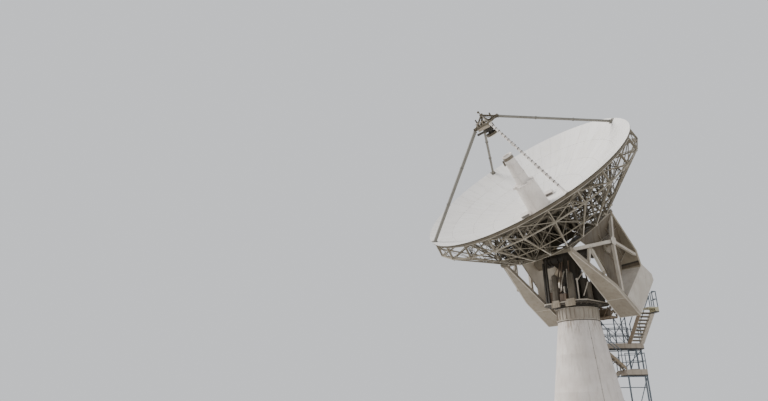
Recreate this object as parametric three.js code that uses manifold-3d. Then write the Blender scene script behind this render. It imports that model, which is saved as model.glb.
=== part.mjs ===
import * as THREE from "three";
import { mergeVertices } from "three/addons/utils/BufferGeometryUtils.js";
import Module from "manifold-3d";

const wasm = await Module();
wasm.setup();

// Driving dimensions in millimetres. The ground is z = 0 and the azimuth axis is x = y = 0.
const GAP = 0.3;
const RING_Z = 7600;
const AXIS_Z = RING_Z + 3760;
const ELEVATION_DEG = 45.5;

// Pedestal
const BAND_HEIGHT = 820;
const BAND_RADIUS = 1335;
const CONE_SLOPE = 0.157;
const PEDESTAL_WALL = 120;
const FOOT_HEIGHT = 70;
const BEARING_RADIUS = 1390;
const BEARING_HEIGHT = 90;

// Reflector, with heights counted along the dish axis from the elevation axis
const DISH_RADIUS = 7500;
const FOCAL_LENGTH = 6000;
const RIM_HEIGHT = 6480;
const VERTEX_HEIGHT = RIM_HEIGHT - DISH_RADIUS ** 2 / (4 * FOCAL_LENGTH);
const SKIN = 55;
const HUB_HOLE_RADIUS = 650;
const SECTORS = 6;
const RIBS = 24;
const SKIN_STEPS = 6;

// Back structure
const HUB_RADIUS = 1300;
const HUB_BOTTOM = 2480;
const HUB_WALL = 90;
const OUTER_RING = { r: 7480, z: RIM_HEIGHT - 1060 };
const KNEE = { r: 4300, z: 2520 };
const RIB_WIDTH = 60;
const RIB_BAR = 85;

// Elevation frame and the two wings that carry the counterweights
const FRAME_FRONT = { y: -3500, z: 2357 };
const FRAME_REAR = { y: 3070, z: 1000 };
const FRAME_HALF_WIDTH = 2720;
const CHORD_DEPTH = 240;
const SIDE_CHORD_DEPTH = 200;
const WING_INNER = 2090;
const WING_OUTER = 3540;
const WING_FOOT = { y: -1970, z: -4255 };
const REAR_CORNER = { y: 1630, z: -2000 };
const WEIGHT_TOP = -2600;
const PLATE_DEPTH = 200;
const WEB_X = FRAME_HALF_WIDTH + 2 * GAP;
const WEB_THICKNESS = 60;
const TRUNNION = { x: 3400, y: 0, z: 350 };

// Feed support: four straight legs meet at the apex, and a square platform joins them below it
const LEG_TURN_DEG = 48.3;
const LEG_FOOT_RADIUS = 7303;
const LEG_RADII = [75, 75, 110, 75];
const PEAK_BAR_RADIUS = 65;
const APEX_HEIGHT = 11753;
const PLATFORM_HEIGHT = 11150;
const SUBREFLECTOR_RADIUS = 430;
const SUBREFLECTOR_HEIGHT = 10240;
const TOWER_RADIUS = 800;
const TOWER_STEP_RADIUS = 690;
const TOWER_STEP = VERTEX_HEIGHT + 2150;
const HORN_RADIUS = 470;
const HORN_TOP_RADIUS = 330;
const TOWER_TOP = VERTEX_HEIGHT + 4400;

// Turret
const DECK_HALF = 1680;
const DECK_TOP = 380;
const AXLE_RADIUS = 420;
const AXLE_HALF = 1900;

// Stair tower, in a frame of its own turned about the azimuth axis
const STAIR_TURN_DEG = 45;
const UPPER_SLANT_DEG = 12.4;
const TOP_LANDING_Z = RING_Z + 190;
const MID_LANDING_Z = RING_Z - 1900;
const LOW_LANDING_Z = RING_Z - 3760;
const FLIGHT_WIDTH = 760;
const STRINGER = { width: 40, below: 60, above: 190 };
const RAIL_HEIGHT = 1100;
const RAIL_BAR = 50;
const LANDING_DEPTH = 420;
const TOP_LANDING_DEPTH = 90;

const paint = (color, roughness, metalness = 0.2) =>
  new THREE.MeshStandardMaterial({ color, roughness, metalness });

const MATERIALS = {
  reflector: () => paint(0xdedad4, 0.55),
  lattice: () => paint(0x8f8672, 0.6),
  pedestal: () => paint(0xcdc3bc, 0.6),
  wing: () => paint(0xa89c88, 0.6),
  plate: () => paint(0xbdb6aa, 0.55),
  machine: () => paint(0x9a917f, 0.55),
  stair: () => paint(0xa5917d, 0.7, 0.4),
};

// Solid modelling helpers

function toSolid(geometry) {
  const bare = geometry.index ? geometry.clone() : geometry;
  bare.deleteAttribute("normal");
  bare.deleteAttribute("uv");
  const merged = mergeVertices(bare, 1e-3);
  const vertProperties = Float32Array.from(merged.attributes.position.array);
  const triVerts = Uint32Array.from(merged.index.array);
  return new wasm.Manifold(new wasm.Mesh({ numProp: 3, vertProperties, triVerts }));
}

function toGeometry(solid) {
  const mesh = solid.getMesh();
  const geometry = new THREE.BufferGeometry();
  geometry.setAttribute("position", new THREE.BufferAttribute(mesh.vertProperties, 3));
  geometry.setIndex(new THREE.BufferAttribute(mesh.triVerts, 1));
  geometry.computeVertexNormals();
  return geometry;
}

const fuse = (pieces) => toGeometry(pieces.map(toSolid).reduce((sum, piece) => sum.add(piece)));

function cut(geometry, tools) {
  return toGeometry(tools.map(toSolid).reduce((rest, tool) => rest.subtract(tool), toSolid(geometry)));
}

const common = (a, b) => toGeometry(toSolid(a).intersect(toSolid(b)));

const vec = (x, y, z) => new THREE.Vector3(x, y, z);

// A square bar from one point to another; its width lies across the given up direction
function bar(from, to, width, depth = width, up = vec(0, 0, 1)) {
  const along = to.clone().sub(from);
  const length = along.length();
  const zAxis = along.normalize();
  const side = Math.abs(zAxis.dot(up)) > 0.999 ? vec(1, 0, 0) : up;
  const xAxis = side.clone().cross(zAxis).normalize();
  const yAxis = zAxis.clone().cross(xAxis);
  const turn = new THREE.Matrix4().makeBasis(xAxis, yAxis, zAxis);
  turn.setPosition(from.clone().add(to).multiplyScalar(0.5));
  return new THREE.BoxGeometry(width, depth, length).applyMatrix4(turn);
}

// A round bar from one point to another, cone-shaped where the radii differ
function rod(from, to, radius, sides = 8, endRadius = radius) {
  const along = to.clone().sub(from);
  const rodGeometry = new THREE.CylinderGeometry(endRadius, radius, along.length(), sides);
  const turn = new THREE.Quaternion().setFromUnitVectors(vec(0, 1, 0), along.clone().normalize());
  rodGeometry.applyQuaternion(turn);
  const middle = from.clone().add(to).multiplyScalar(0.5);
  return rodGeometry.translate(middle.x, middle.y, middle.z);
}

// A box between two opposite corners
function block(x0, x1, y0, y1, z0, z1) {
  const box = new THREE.BoxGeometry(x1 - x0, y1 - y0, z1 - z0);
  return box.translate((x0 + x1) / 2, (y0 + y1) / 2, (z0 + z1) / 2);
}

function outline(points) {
  const shape = new THREE.Shape();
  points.forEach(([x, y], i) => (i ? shape.lineTo(x, y) : shape.moveTo(x, y)));
  shape.closePath();
  return shape;
}

// A flat plate: its outline lies in the plane of the two axes, and its thickness goes along the third
function plate(shape, thickness, origin, xAxis, yAxis) {
  const body = new THREE.ExtrudeGeometry(shape, { depth: thickness, bevelEnabled: false });
  const frame = new THREE.Matrix4().makeBasis(xAxis, yAxis, xAxis.clone().cross(yAxis));
  return body.applyMatrix4(frame.setPosition(origin));
}

// A solid of revolution about z from a closed outline of radius and height
function turned(profile, segments) {
  const points = profile.map(([r, z]) => new THREE.Vector2(r, z));
  const lathe = new THREE.LatheGeometry([...points, points[0]], segments);
  return lathe.rotateX(Math.PI / 2);
}

function addPiece(parent, name, geometry, material) {
  const mesh = new THREE.Mesh(geometry, material);
  mesh.name = name;
  parent.add(mesh);
  return mesh;
}

// Pedestal

const coneBottom = BAND_RADIUS + CONE_SLOPE * (RING_Z - BAND_HEIGHT);
const bandBottom = RING_Z - BAND_HEIGHT;

function ring(inner, outer, z0, z1, segments = 32) {
  return turned([[inner, z0], [outer, z0], [outer, z1], [inner, z1]], segments);
}

function disc(outer, z0, z1, segments = 32) {
  return turned([[0, z0], [outer, z0], [outer, z1], [0, z1]], segments);
}

function buildPedestal() {
  const pedestal = new THREE.Group();
  const paintwork = MATERIALS.pedestal;
  const inner = BAND_RADIUS - PEDESTAL_WALL;
  const footRadius = coneBottom + 110;
  const lowFlange = { radius: BAND_RADIUS + 55, height: 70 };
  const topFlangeHeight = 60;
  addPiece(pedestal, "pedestal_foot", disc(footRadius, 0, FOOT_HEIGHT), paintwork());
  const cone = turned([
    [coneBottom - PEDESTAL_WALL, FOOT_HEIGHT + GAP],
    [coneBottom, FOOT_HEIGHT + GAP],
    [BAND_RADIUS, bandBottom - GAP],
    [inner, bandBottom - GAP],
  ], 32);
  addPiece(pedestal, "pedestal_cone", cone, paintwork());
  const band = fuse([
    ring(inner, BAND_RADIUS, bandBottom, RING_Z),
    ring(inner, lowFlange.radius, bandBottom, bandBottom + lowFlange.height),
    ring(inner, BEARING_RADIUS, RING_Z - topFlangeHeight, RING_Z),
  ]);
  addPiece(pedestal, "pedestal_band", band, paintwork());
  const bearing = ring(900, BEARING_RADIUS - 60, RING_Z + GAP, RING_Z + BEARING_HEIGHT);
  addPiece(pedestal, "azimuth_bearing", bearing, MATERIALS.machine());
  return pedestal;
}

// Stair tower

// Posts, a knee rail and a top rail along a run of points on a floor
function handrail(points, spacing = 1100) {
  const pieces = [];
  points.slice(1).forEach((end, i) => {
    const start = points[i];
    const along = end.clone().sub(start);
    const count = Math.max(1, Math.round(along.length() / spacing));
    for (let k = i ? 1 : 0; k <= count; k += 1) {
      const foot = start.clone().addScaledVector(along, k / count);
      pieces.push(bar(foot.clone().add(vec(0, 0, -20)), foot.clone().add(vec(0, 0, RAIL_HEIGHT)), RAIL_BAR));
    }
    const reach = along.clone().normalize().multiplyScalar(RAIL_BAR / 2);
    for (const height of [RAIL_HEIGHT - RAIL_BAR / 2, RAIL_HEIGHT / 2]) {
      const lift = vec(0, 0, height);
      pieces.push(bar(start.clone().add(lift).sub(reach), end.clone().add(lift).add(reach), RAIL_BAR));
    }
  });
  return pieces;
}

// One straight flight that rises along +x between two stringers, which may have flanges that reach outwards
function flight(rise, run, steps, { onGround = false, flange = 0 } = {}) {
  const riser = rise / steps;
  const going = run / steps;
  const foot = onGround ? [[0, 0], [STRINGER.below * going / riser, 0]] : [[0, -STRINGER.below]];
  const side = outline([
    ...foot,
    [run, rise - STRINGER.below],
    [run, rise],
    [(rise - STRINGER.above) * going / riser, rise],
    [0, STRINGER.above],
  ]);
  const pieces = [];
  const upright = (shape, width, y) => plate(shape, width, vec(0, y + width, 0), vec(1, 0, 0), vec(0, 0, 1));
  if (flange) {
    const reach = flange + STRINGER.width;
    const sole = outline([
      [0, -STRINGER.below], [run, rise - STRINGER.below],
      [run, rise - STRINGER.below + STRINGER.width], [0, STRINGER.width - STRINGER.below],
    ]);
    pieces.push(upright(sole, reach, -flange), upright(sole, reach, FLIGHT_WIDTH - STRINGER.width));
  }
  for (const y of [0, FLIGHT_WIDTH - STRINGER.width]) {
    pieces.push(upright(side, STRINGER.width, y));
    const line = (x, lift) => vec(x, y + STRINGER.width / 2, x * riser / going + lift);
    const first = going;
    const last = run - going;
    for (const x of [first, last]) {
      pieces.push(bar(line(x, STRINGER.above / 2), line(x, RAIL_HEIGHT), RAIL_BAR));
    }
    pieces.push(bar(line(first - 60, RAIL_HEIGHT), line(last + 60, RAIL_HEIGHT), RAIL_BAR));
  }
  for (let i = 0; i < steps - 1; i += 1) {
    const x = going * i;
    const z = riser * (i + 1);
    pieces.push(block(x, x + going + 20, 15, FLIGHT_WIDTH - 15, z - 35, z));
  }
  return fuse(pieces);
}

// An outline drawn anticlockwise, moved inwards by a width
function insetOutline(points, width) {
  const inward = (from, to) => {
    const length = Math.hypot(to[0] - from[0], to[1] - from[1]);
    return [(from[1] - to[1]) / length, (to[0] - from[0]) / length];
  };
  return points.map((point, i) => {
    const before = inward(points[(i + points.length - 1) % points.length], point);
    const after = inward(point, points[(i + 1) % points.length]);
    const reach = width / (1 + before[0] * after[0] + before[1] * after[1]);
    return [point[0] + reach * (before[0] + after[0]), point[1] + reach * (before[1] + after[1])];
  });
}

// A landing: a thin floor on a frame of edge beams, with its handrail
function landing(points, z, rails, depth = LANDING_DEPTH) {
  const floor = 45;
  const level = (shape, z0, z1) => plate(outline(shape), z1 - z0, vec(0, 0, z0), vec(1, 0, 0), vec(0, 1, 0));
  const under = level(insetOutline(points, 60), z - depth - 10, z - floor);
  const deck = cut(level(points, z - depth, z), [under]);
  return fuse([deck, ...rails.flatMap((run) => handrail(run.map(([x, y]) => vec(x, y, z))))]);
}

const rectangle = ({ x0, x1, y0, y1 }) => [[x0, y0], [x1, y0], [x1, y1], [x0, y1]];

// A flat lattice side: posts of their own heights, level ties between them and one brace in each bay
function postFrame(posts, y, ties, size = 90) {
  const pieces = posts.map(({ x, top, foot = 0 }) => bar(vec(x, y, foot), vec(x, y, top), size));
  for (let i = 0; i < posts.length - 1; i += 1) {
    const [a, b] = [posts[i], posts[i + 1]];
    const levels = ties.filter((z) => z < Math.min(a.top, b.top));
    levels.forEach((z) => pieces.push(bar(vec(a.x, y, z), vec(b.x, y, z), size - 30)));
    levels.slice(1).forEach((z, k) => {
      const [from, to] = (i + k) % 2 ? [b, a] : [a, b];
      pieces.push(bar(vec(from.x, y, levels[k]), vec(to.x, y, z), size - 40));
    });
  }
  return fuse(pieces);
}

function buildStairs() {
  const stairs = new THREE.Group();
  stairs.rotation.z = THREE.MathUtils.degToRad(STAIR_TURN_DEG);
  const steel = MATERIALS.stair;
  const low = { x0: 3350, x1: 4700, y0: 2560, y1: 4250 };
  const mid = { x0: -400, x1: 5120, y0: 3600, y1: 4500 };
  const neck = { x1: 1550, y0: 2560 };
  const inset = RAIL_BAR / 2 + 5;
  const postInset = 60;

  const lowRun = 3600;
  const lowerFlightY = 3440;
  const lower = flight(LOW_LANDING_Z, lowRun, 19, { onGround: true });
  addPiece(stairs, "lower_flight", lower, steel()).position.set(low.x0 - lowRun - GAP, lowerFlightY, 0);

  const lowRails = [[
    [low.x0 + inset, low.y0 + inset], [low.x1 - inset, low.y0 + inset], [low.x1 - inset, low.y1 - inset],
    [low.x0 + inset, low.y1 - inset],
  ]];
  addPiece(stairs, "low_landing", landing(rectangle(low), LOW_LANDING_Z, lowRails), steel());

  const middleRise = MID_LANDING_Z - LOW_LANDING_Z;
  const middleRun = low.x0 - neck.x1 - 2 * GAP;
  const middle = addPiece(stairs, "middle_flight", flight(middleRise, middleRun, 9), steel());
  middle.rotation.z = Math.PI;
  middle.position.set(low.x0 - GAP, neck.y0 + FLIGHT_WIDTH, LOW_LANDING_Z);

  // The edge of the middle landing is cut square to the upper flight, which climbs at a slant
  const slant = THREE.MathUtils.degToRad(UPPER_SLANT_DEG);
  const upperFoot = { x: 4190, y: mid.y0 };
  const midOutline = [
    [mid.x0, neck.y0], [neck.x1, neck.y0], [neck.x1, mid.y0], [upperFoot.x, mid.y0],
    [mid.x1, mid.y0 + (mid.x1 - upperFoot.x) * Math.tan(slant)], [mid.x1, mid.y1], [mid.x0, mid.y1],
  ];
  const midRails = [
    [[mid.x1 - inset, midOutline[4][1] + inset], [mid.x1 - inset, mid.y1 - inset],
      [mid.x0 + inset, mid.y1 - inset], [mid.x0 + inset, neck.y0 + inset]],
    [[neck.x1 - inset, neck.y0 + FLIGHT_WIDTH + 90], [neck.x1 - inset, mid.y0 + inset],
      [upperFoot.x - postInset, mid.y0 + inset]],
  ];
  const midFloor = landing(midOutline, MID_LANDING_Z, midRails);
  const screenFoot = MID_LANDING_Z - 20;
  const screenPosts = [
    { x: 2350, top: RING_Z - 300, foot: screenFoot }, { x: 3235, top: RING_Z, foot: screenFoot },
    { x: 3750, top: RING_Z, foot: screenFoot }, { x: 4040, top: RING_Z, foot: screenFoot },
  ];
  const screenTies = [MID_LANDING_Z + 60, RING_Z - 1250, RING_Z - 540];
  const screen = postFrame(screenPosts, mid.y0 + inset, screenTies, 70);

  // Two arms behind the pedestal tie the middle landing to the cone
  const tieAt = { z: MID_LANDING_Z - LANDING_DEPTH / 2, start: 1000, width: 120 };
  const pedestalSpace = turned([
    [0, FOOT_HEIGHT], [coneBottom + GAP, FOOT_HEIGHT], [BAND_RADIUS + GAP, bandBottom], [0, bandBottom],
  ], 32);
  const arms = [0, 900].map((x) => bar(
    vec(x, tieAt.start, tieAt.z), vec(x, neck.y0 + postInset, tieAt.z), tieAt.width));
  const midFrame = cut(fuse([midFloor, screen, ...arms]), [pedestalSpace]);
  addPiece(stairs, "mid_landing", midFrame, steel());

  // The upper flight and the top landing share a frame at the flight's foot
  const placeOnFlight = (mesh, z = 0) => {
    mesh.rotation.z = slant - Math.PI / 2;
    mesh.position.set(upperFoot.x + GAP * Math.sin(slant), upperFoot.y - GAP * Math.cos(slant), z);
  };
  const upperRise = TOP_LANDING_Z - MID_LANDING_Z;
  const upperRun = 2200;
  const upper = flight(upperRise, upperRun, 10, { flange: 250 });
  placeOnFlight(addPiece(stairs, "upper_flight", upper, steel()), MID_LANDING_Z);

  // The top landing is thin, with a deep box beam along its outer end
  const top = { x0: upperRun + GAP, x1: upperRun + 750, y0: 0, y1: FLIGHT_WIDTH };
  const endBeam = { y0: 500, depth: 350, lap: 10 };
  const topRailStart = 460;
  const topRails = [[
    [top.x1 - inset, top.y0 + topRailStart], [top.x1 - inset, top.y1 - inset],
    [top.x0 + inset, top.y1 - inset],
  ]];
  const topFloor = fuse([
    landing(rectangle(top), TOP_LANDING_Z, topRails, TOP_LANDING_DEPTH),
    block(top.x0, top.x1, endBeam.y0, top.y1, TOP_LANDING_Z - endBeam.depth,
      TOP_LANDING_Z - endBeam.lap),
  ]);
  placeOnFlight(addPiece(stairs, "top_landing", topFloor, steel()));

  const underMid = MID_LANDING_Z - LANDING_DEPTH - GAP;
  const underLow = LOW_LANDING_Z - LANDING_DEPTH - GAP;
  const lowTie = 300;
  const farPosts = [mid.x0 + postInset, 2400, mid.x1 - postInset].map((x) => ({ x, top: underMid }));
  const farTies = [lowTie, 2700, underMid - postInset];
  addPiece(stairs, "stair_frame_far", postFrame(farPosts, mid.y1 - postInset, farTies), steel());
  const nearPosts = [
    { x: mid.x0 + postInset, top: underMid }, { x: neck.x1 - postInset, top: underMid },
    { x: low.x0 + postInset, top: underLow }, { x: low.x1 - postInset, top: underLow },
  ];
  const nearTies = [lowTie, underLow - postInset];
  addPiece(stairs, "stair_frame_near", postFrame(nearPosts, neck.y0 + postInset, nearTies), steel());
  const upperPosts = [4000, low.x1 - 160].map((x) => ({ x, top: underMid, foot: LOW_LANDING_Z + GAP }));
  const upperTies = [LOW_LANDING_Z + postInset, underMid - postInset];
  addPiece(stairs, "stair_frame_upper", postFrame(upperPosts, mid.y0 + 200, upperTies), steel());
  return stairs;
}

// Turret

function buildTurret() {
  const turret = new THREE.Group();
  turret.position.z = RING_Z;
  const machine = MATERIALS.machine;
  const tableBottom = BEARING_HEIGHT + GAP;
  const deckBottom = DECK_TOP - 160;
  addPiece(turret, "turntable", disc(1300, tableBottom, deckBottom - GAP, 24), machine());

  const corner = 400;
  const deckOutline = [];
  for (const [sx, sy] of [[1, 1], [-1, 1], [-1, -1], [1, -1]]) {
    const ends = [[sx * DECK_HALF, sy * (DECK_HALF - corner)], [sx * (DECK_HALF - corner), sy * DECK_HALF]];
    deckOutline.push(...(sx * sy > 0 ? ends : ends.reverse()));
  }
  const deck = plate(
    outline(deckOutline), DECK_TOP - deckBottom, vec(0, 0, deckBottom), vec(1, 0, 0), vec(0, 1, 0));
  addPiece(turret, "turret_deck", deck, MATERIALS.wing());

  // Central column with the housing of the elevation axle across its head
  const axleZ = AXIS_Z - RING_Z;
  const column = { foot: 820, head: 560 };
  const collar = { radius: AXLE_RADIUS + 110, length: 260 };
  const gusset = { x: 300, foot: 2300, thickness: 200 };
  const yoke = fuse([
    rod(vec(0, 0, DECK_TOP + GAP), vec(0, 0, axleZ), column.foot, 16, column.head),
    rod(vec(-AXLE_HALF, 0, axleZ), vec(AXLE_HALF, 0, axleZ), AXLE_RADIUS, 16),
    ...[AXLE_HALF, -AXLE_HALF].map((end) => rod(
      vec(end - Math.sign(end) * collar.length, 0, axleZ), vec(end, 0, axleZ), collar.radius, 16)),
    ...[-1, 1].map((side) => plate(
      outline([
        [side * gusset.x, gusset.foot], [side * (AXLE_HALF - gusset.thickness), axleZ - 150],
        [side * gusset.thickness, axleZ - 150],
      ]),
      gusset.thickness, vec(0, gusset.thickness / 2, 0), vec(1, 0, 0), vec(0, 0, 1))),
  ]);
  addPiece(turret, "turret_yoke", yoke, machine());

  // Azimuth drives stand over the bearing on the front of the deck, elevation drives on its flanks
  const driveColumn = (radius, topRadius, height) => turned([
    [0, 0], [radius + 70, 0], [radius + 70, 90], [radius, 90],
    [topRadius, height - 160], [topRadius * 0.8, height - 40], [0, height],
  ], 12);
  const drives = [
    { name: "azimuth_drive", x: 620, y: -1290, shape: driveColumn(250, 190, 1950) },
    { name: "elevation_drive", x: 1230, y: -330, shape: driveColumn(270, 240, 1330) },
  ];
  for (const side of [-1, 1]) {
    for (const { name, x, y, shape } of drives) {
      const drive = addPiece(turret, `${name}_${side < 0 ? "left" : "right"}`, shape.clone(), machine());
      drive.position.set(side * x, y, DECK_TOP + GAP);
    }
  }

  // Service platform hung behind the deck
  const shelf = { x: 1560, y0: 1470, y1: 2280, z: -450 };
  const sideRail = 190;
  const backRails = [225, -110];
  const hangers = [];
  for (const side of [-1, 1]) {
    const x = side * (shelf.x - 30);
    hangers.push(bar(vec(x, shelf.y0 + 30, shelf.z), vec(x, shelf.y0 + 30, sideRail), 60));
    hangers.push(bar(vec(x, shelf.y1 - 30, shelf.z), vec(x, shelf.y1 - 30, sideRail + 60), 60));
    hangers.push(bar(vec(x, shelf.y0, sideRail), vec(x, shelf.y1, sideRail), 50));
  }
  const platform = fuse([
    block(-shelf.x, shelf.x, shelf.y0, shelf.y1, shelf.z - 60, shelf.z),
    ...hangers,
    ...backRails.map((z) => bar(vec(-shelf.x, shelf.y1 - 30, z), vec(shelf.x, shelf.y1 - 30, z), 50)),
    block(-700, 700, DECK_HALF + GAP, shelf.y1 - 30, sideRail + 10, sideRail + 60),
  ]);
  addPiece(turret, "turret_platform", platform, MATERIALS.stair());
  return turret;
}

// Dish, in its own frame: x along the elevation axis, z along the dish axis

const stationRadius = (i) => HUB_HOLE_RADIUS + (DISH_RADIUS - HUB_HOLE_RADIUS) * i / SKIN_STEPS;
const stations = Array.from({ length: SKIN_STEPS + 1 }, (_, i) => stationRadius(i));
const bowl = (r) => VERTEX_HEIGHT + r * r / (4 * FOCAL_LENGTH);

// Height of the faceted front face, straight between the stations
function facet(r) {
  const i = Math.max(0, Math.min(SKIN_STEPS - 1, stations.findIndex((s) => s >= r) - 1));
  const [a, b] = [stations[i], stations[i + 1]];
  return bowl(a) + (bowl(b) - bowl(a)) * (r - a) / (b - a);
}

const polar = (r, degrees, z) => {
  const angle = THREE.MathUtils.degToRad(degrees);
  return vec(r * Math.cos(angle), r * Math.sin(angle), z);
};

function wedge(from, to, reach, z0, z1) {
  const edge = [0, 1, 2, 3].map((i) => polar(reach, from + (to - from) * i / 3, 0));
  const shape = outline([[0, 0], ...edge.map((p) => [p.x, p.y])]);
  return plate(shape, z1 - z0, vec(0, 0, z0), vec(1, 0, 0), vec(0, 1, 0));
}

function buildReflector(dish) {
  const front = stations.map((r) => [r, bowl(r)]);
  const back = stations.map((r) => [r, bowl(r) - SKIN]).reverse();
  const shell = turned([...back, ...front].reverse(), 2 * RIBS);
  const span = 360 / SECTORS;
  const halfGapDeg = THREE.MathUtils.radToDeg(GAP / 2 / HUB_HOLE_RADIUS);
  for (let i = 0; i < SECTORS; i += 1) {
    const middle = i * span;
    const cutter = wedge(middle - span / 2 + halfGapDeg, middle + span / 2 - halfGapDeg, 12000, 3000, 7000);
    addPiece(dish, `reflector_sector_${i + 1}`, common(shell, cutter), MATERIALS.reflector());
  }
}

// The open triangle between three truss nodes, drawn in by a margin on each side
function openTriangle(a, b, c, margin) {
  const side = (p, q) => Math.hypot(p[0] - q[0], p[1] - q[1]);
  const [la, lb, lc] = [side(b, c), side(c, a), side(a, b)];
  const whole = la + lb + lc;
  const centre = [0, 1].map((k) => (la * a[k] + lb * b[k] + lc * c[k]) / whole);
  const area = Math.abs((b[0] - a[0]) * (c[1] - a[1]) - (c[0] - a[0]) * (b[1] - a[1])) / 2;
  const keep = 1 - margin * whole / (2 * area);
  return outline([a, b, c].map((p) => [0, 1].map((k) => centre[k] + (p[k] - centre[k]) * keep)));
}

// One radial rib in the plane y = 0, a deep truss between the skin and its bottom chord
function buildRib() {
  const inner = HUB_RADIUS + GAP;
  const outer = 7400;
  const half = RIB_BAR / 2;
  const top = (r) => facet(r) - SKIN - GAP;
  const slope = (OUTER_RING.z - KNEE.z) / (OUTER_RING.r - KNEE.r);
  const low = (r) => (r < KNEE.r ? KNEE.z : KNEE.z + slope * (r - KNEE.r));
  const shape = outline([
    [inner, low(inner) - half], [KNEE.r, low(KNEE.r) - half],
    [OUTER_RING.r + half, low(OUTER_RING.r) - half], [outer, top(outer) - RIB_BAR],
    ...[outer, ...stations.filter((r) => r > inner && r < outer).reverse(), inner].map((r) => [r, top(r)]),
  ]);
  const inmost = inner + half;
  const upper = [7300, 5700, 3500, 2000, inmost].map((r) => [r, top(r) - half]);
  const lower = [OUTER_RING.r - 50, KNEE.r, 2600, inmost].map((r) => [r, low(r)]);
  const chain = [];
  lower.forEach((node, i) => chain.push(upper[i], node));
  chain.push(upper[lower.length]);
  const slab = (flat, thickness) => plate(
    flat, thickness, vec(0, thickness / 2, 0), vec(1, 0, 0), vec(0, 0, 1));
  const openings = [];
  for (let i = 0; i < chain.length - 2; i += 1) {
    openings.push(slab(openTriangle(chain[i], chain[i + 1], chain[i + 2], half), RIB_WIDTH + 20));
  }
  return cut(slab(shape, RIB_WIDTH), openings);
}

function buildBackTrusses(dish) {
  const rib = buildRib();
  const span = 360 / SECTORS;
  const pitch = 360 / RIBS;
  const perSector = RIBS / SECTORS;
  const rimRing = { r: 7340, z: facet(7340) - SKIN - 120 };
  for (let i = 0; i < SECTORS; i += 1) {
    const pieces = [];
    const first = i * span - span / 2 + pitch / 2;
    for (let k = 0; k < perSector; k += 1) {
      pieces.push(rib.clone().rotateZ(THREE.MathUtils.degToRad(first + k * pitch)));
    }
    const halfGap = GAP / 2;
    for (const { r, z } of [rimRing, OUTER_RING, KNEE]) {
      for (let k = 0; k < perSector - 1; k += 1) {
        pieces.push(bar(polar(r, first + k * pitch, z), polar(r, first + (k + 1) * pitch, z), 60));
      }
      for (const side of [-1, 1]) {
        const endRib = i * span + side * (span / 2 - pitch / 2);
        const end = polar(r, endRib, z);
        const reach = r * Math.sin(THREE.MathUtils.degToRad(pitch / 2)) - halfGap;
        const along = polar(1, endRib + side * (90 + pitch / 2), 0);
        pieces.push(bar(end, end.clone().addScaledVector(along, reach), 60));
      }
    }
    addPiece(dish, `back_truss_${i + 1}`, fuse(pieces), MATERIALS.lattice());
  }
  const hubTop = bowl(HUB_HOLE_RADIUS) - SKIN - GAP;
  const hub = turned([
    [HUB_RADIUS - HUB_WALL, HUB_BOTTOM], [HUB_RADIUS, HUB_BOTTOM], [HUB_RADIUS, hubTop], [0, hubTop],
    [0, hubTop - HUB_WALL], [HUB_RADIUS - HUB_WALL, hubTop - HUB_WALL],
  ], RIBS);
  addPiece(dish, "hub", hub.rotateZ(Math.PI / RIBS), MATERIALS.lattice());
}

const ribBottom = KNEE.z - RIB_BAR / 2;

// The four chords of the elevation frame, grown on all faces by a clearance
function frameChords(grow = 0) {
  const across = (at) => bar(
    vec(-FRAME_HALF_WIDTH - grow, at.y, at.z), vec(FRAME_HALF_WIDTH + grow, at.y, at.z),
    CHORD_DEPTH + 2 * grow, CHORD_DEPTH + 2 * grow, vec(0, 0, 1));
  const sides = [-1, 1].map((side) => {
    const width = FRAME_HALF_WIDTH - WING_INNER + 2 * grow;
    const middle = side * (FRAME_HALF_WIDTH + WING_INNER) / 2;
    const front = vec(middle, FRAME_FRONT.y, FRAME_FRONT.z);
    const rear = vec(middle, FRAME_REAR.y, FRAME_REAR.z);
    const reach = rear.clone().sub(front).normalize().multiplyScalar(60 + grow);
    const depth = SIDE_CHORD_DEPTH + 2 * grow;
    return bar(front.clone().sub(reach), rear.clone().add(reach), width, depth, vec(0, 0, 1));
  });
  return [...sides, across(FRAME_FRONT), across(FRAME_REAR)];
}

function buildFrame(dish) {
  const pieces = frameChords();
  const seat = polar(1, 52.5, 0);
  for (const side of [-1, 1]) {
    const x = side * FRAME_REAR.y * seat.x / seat.y;
    const onRear = (at, height) => vec(at, FRAME_REAR.y, height);
    pieces.push(bar(onRear(x, FRAME_REAR.z), onRear(x, ribBottom - GAP), 160));
    pieces.push(bar(onRear(side * 500, FRAME_REAR.z), onRear(x, ribBottom - 120), 110));
  }
  addPiece(dish, "elevation_frame", fuse(pieces), MATERIALS.lattice());
}

// Wings: arms of two cross plates and a web, from the frame past the elevation axis to the counterweights

const frontLine = (z) => FRAME_FRONT.y
  + (WING_FOOT.y - FRAME_FRONT.y) * (FRAME_FRONT.z - z) / (FRAME_FRONT.z - WING_FOOT.z);

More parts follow.
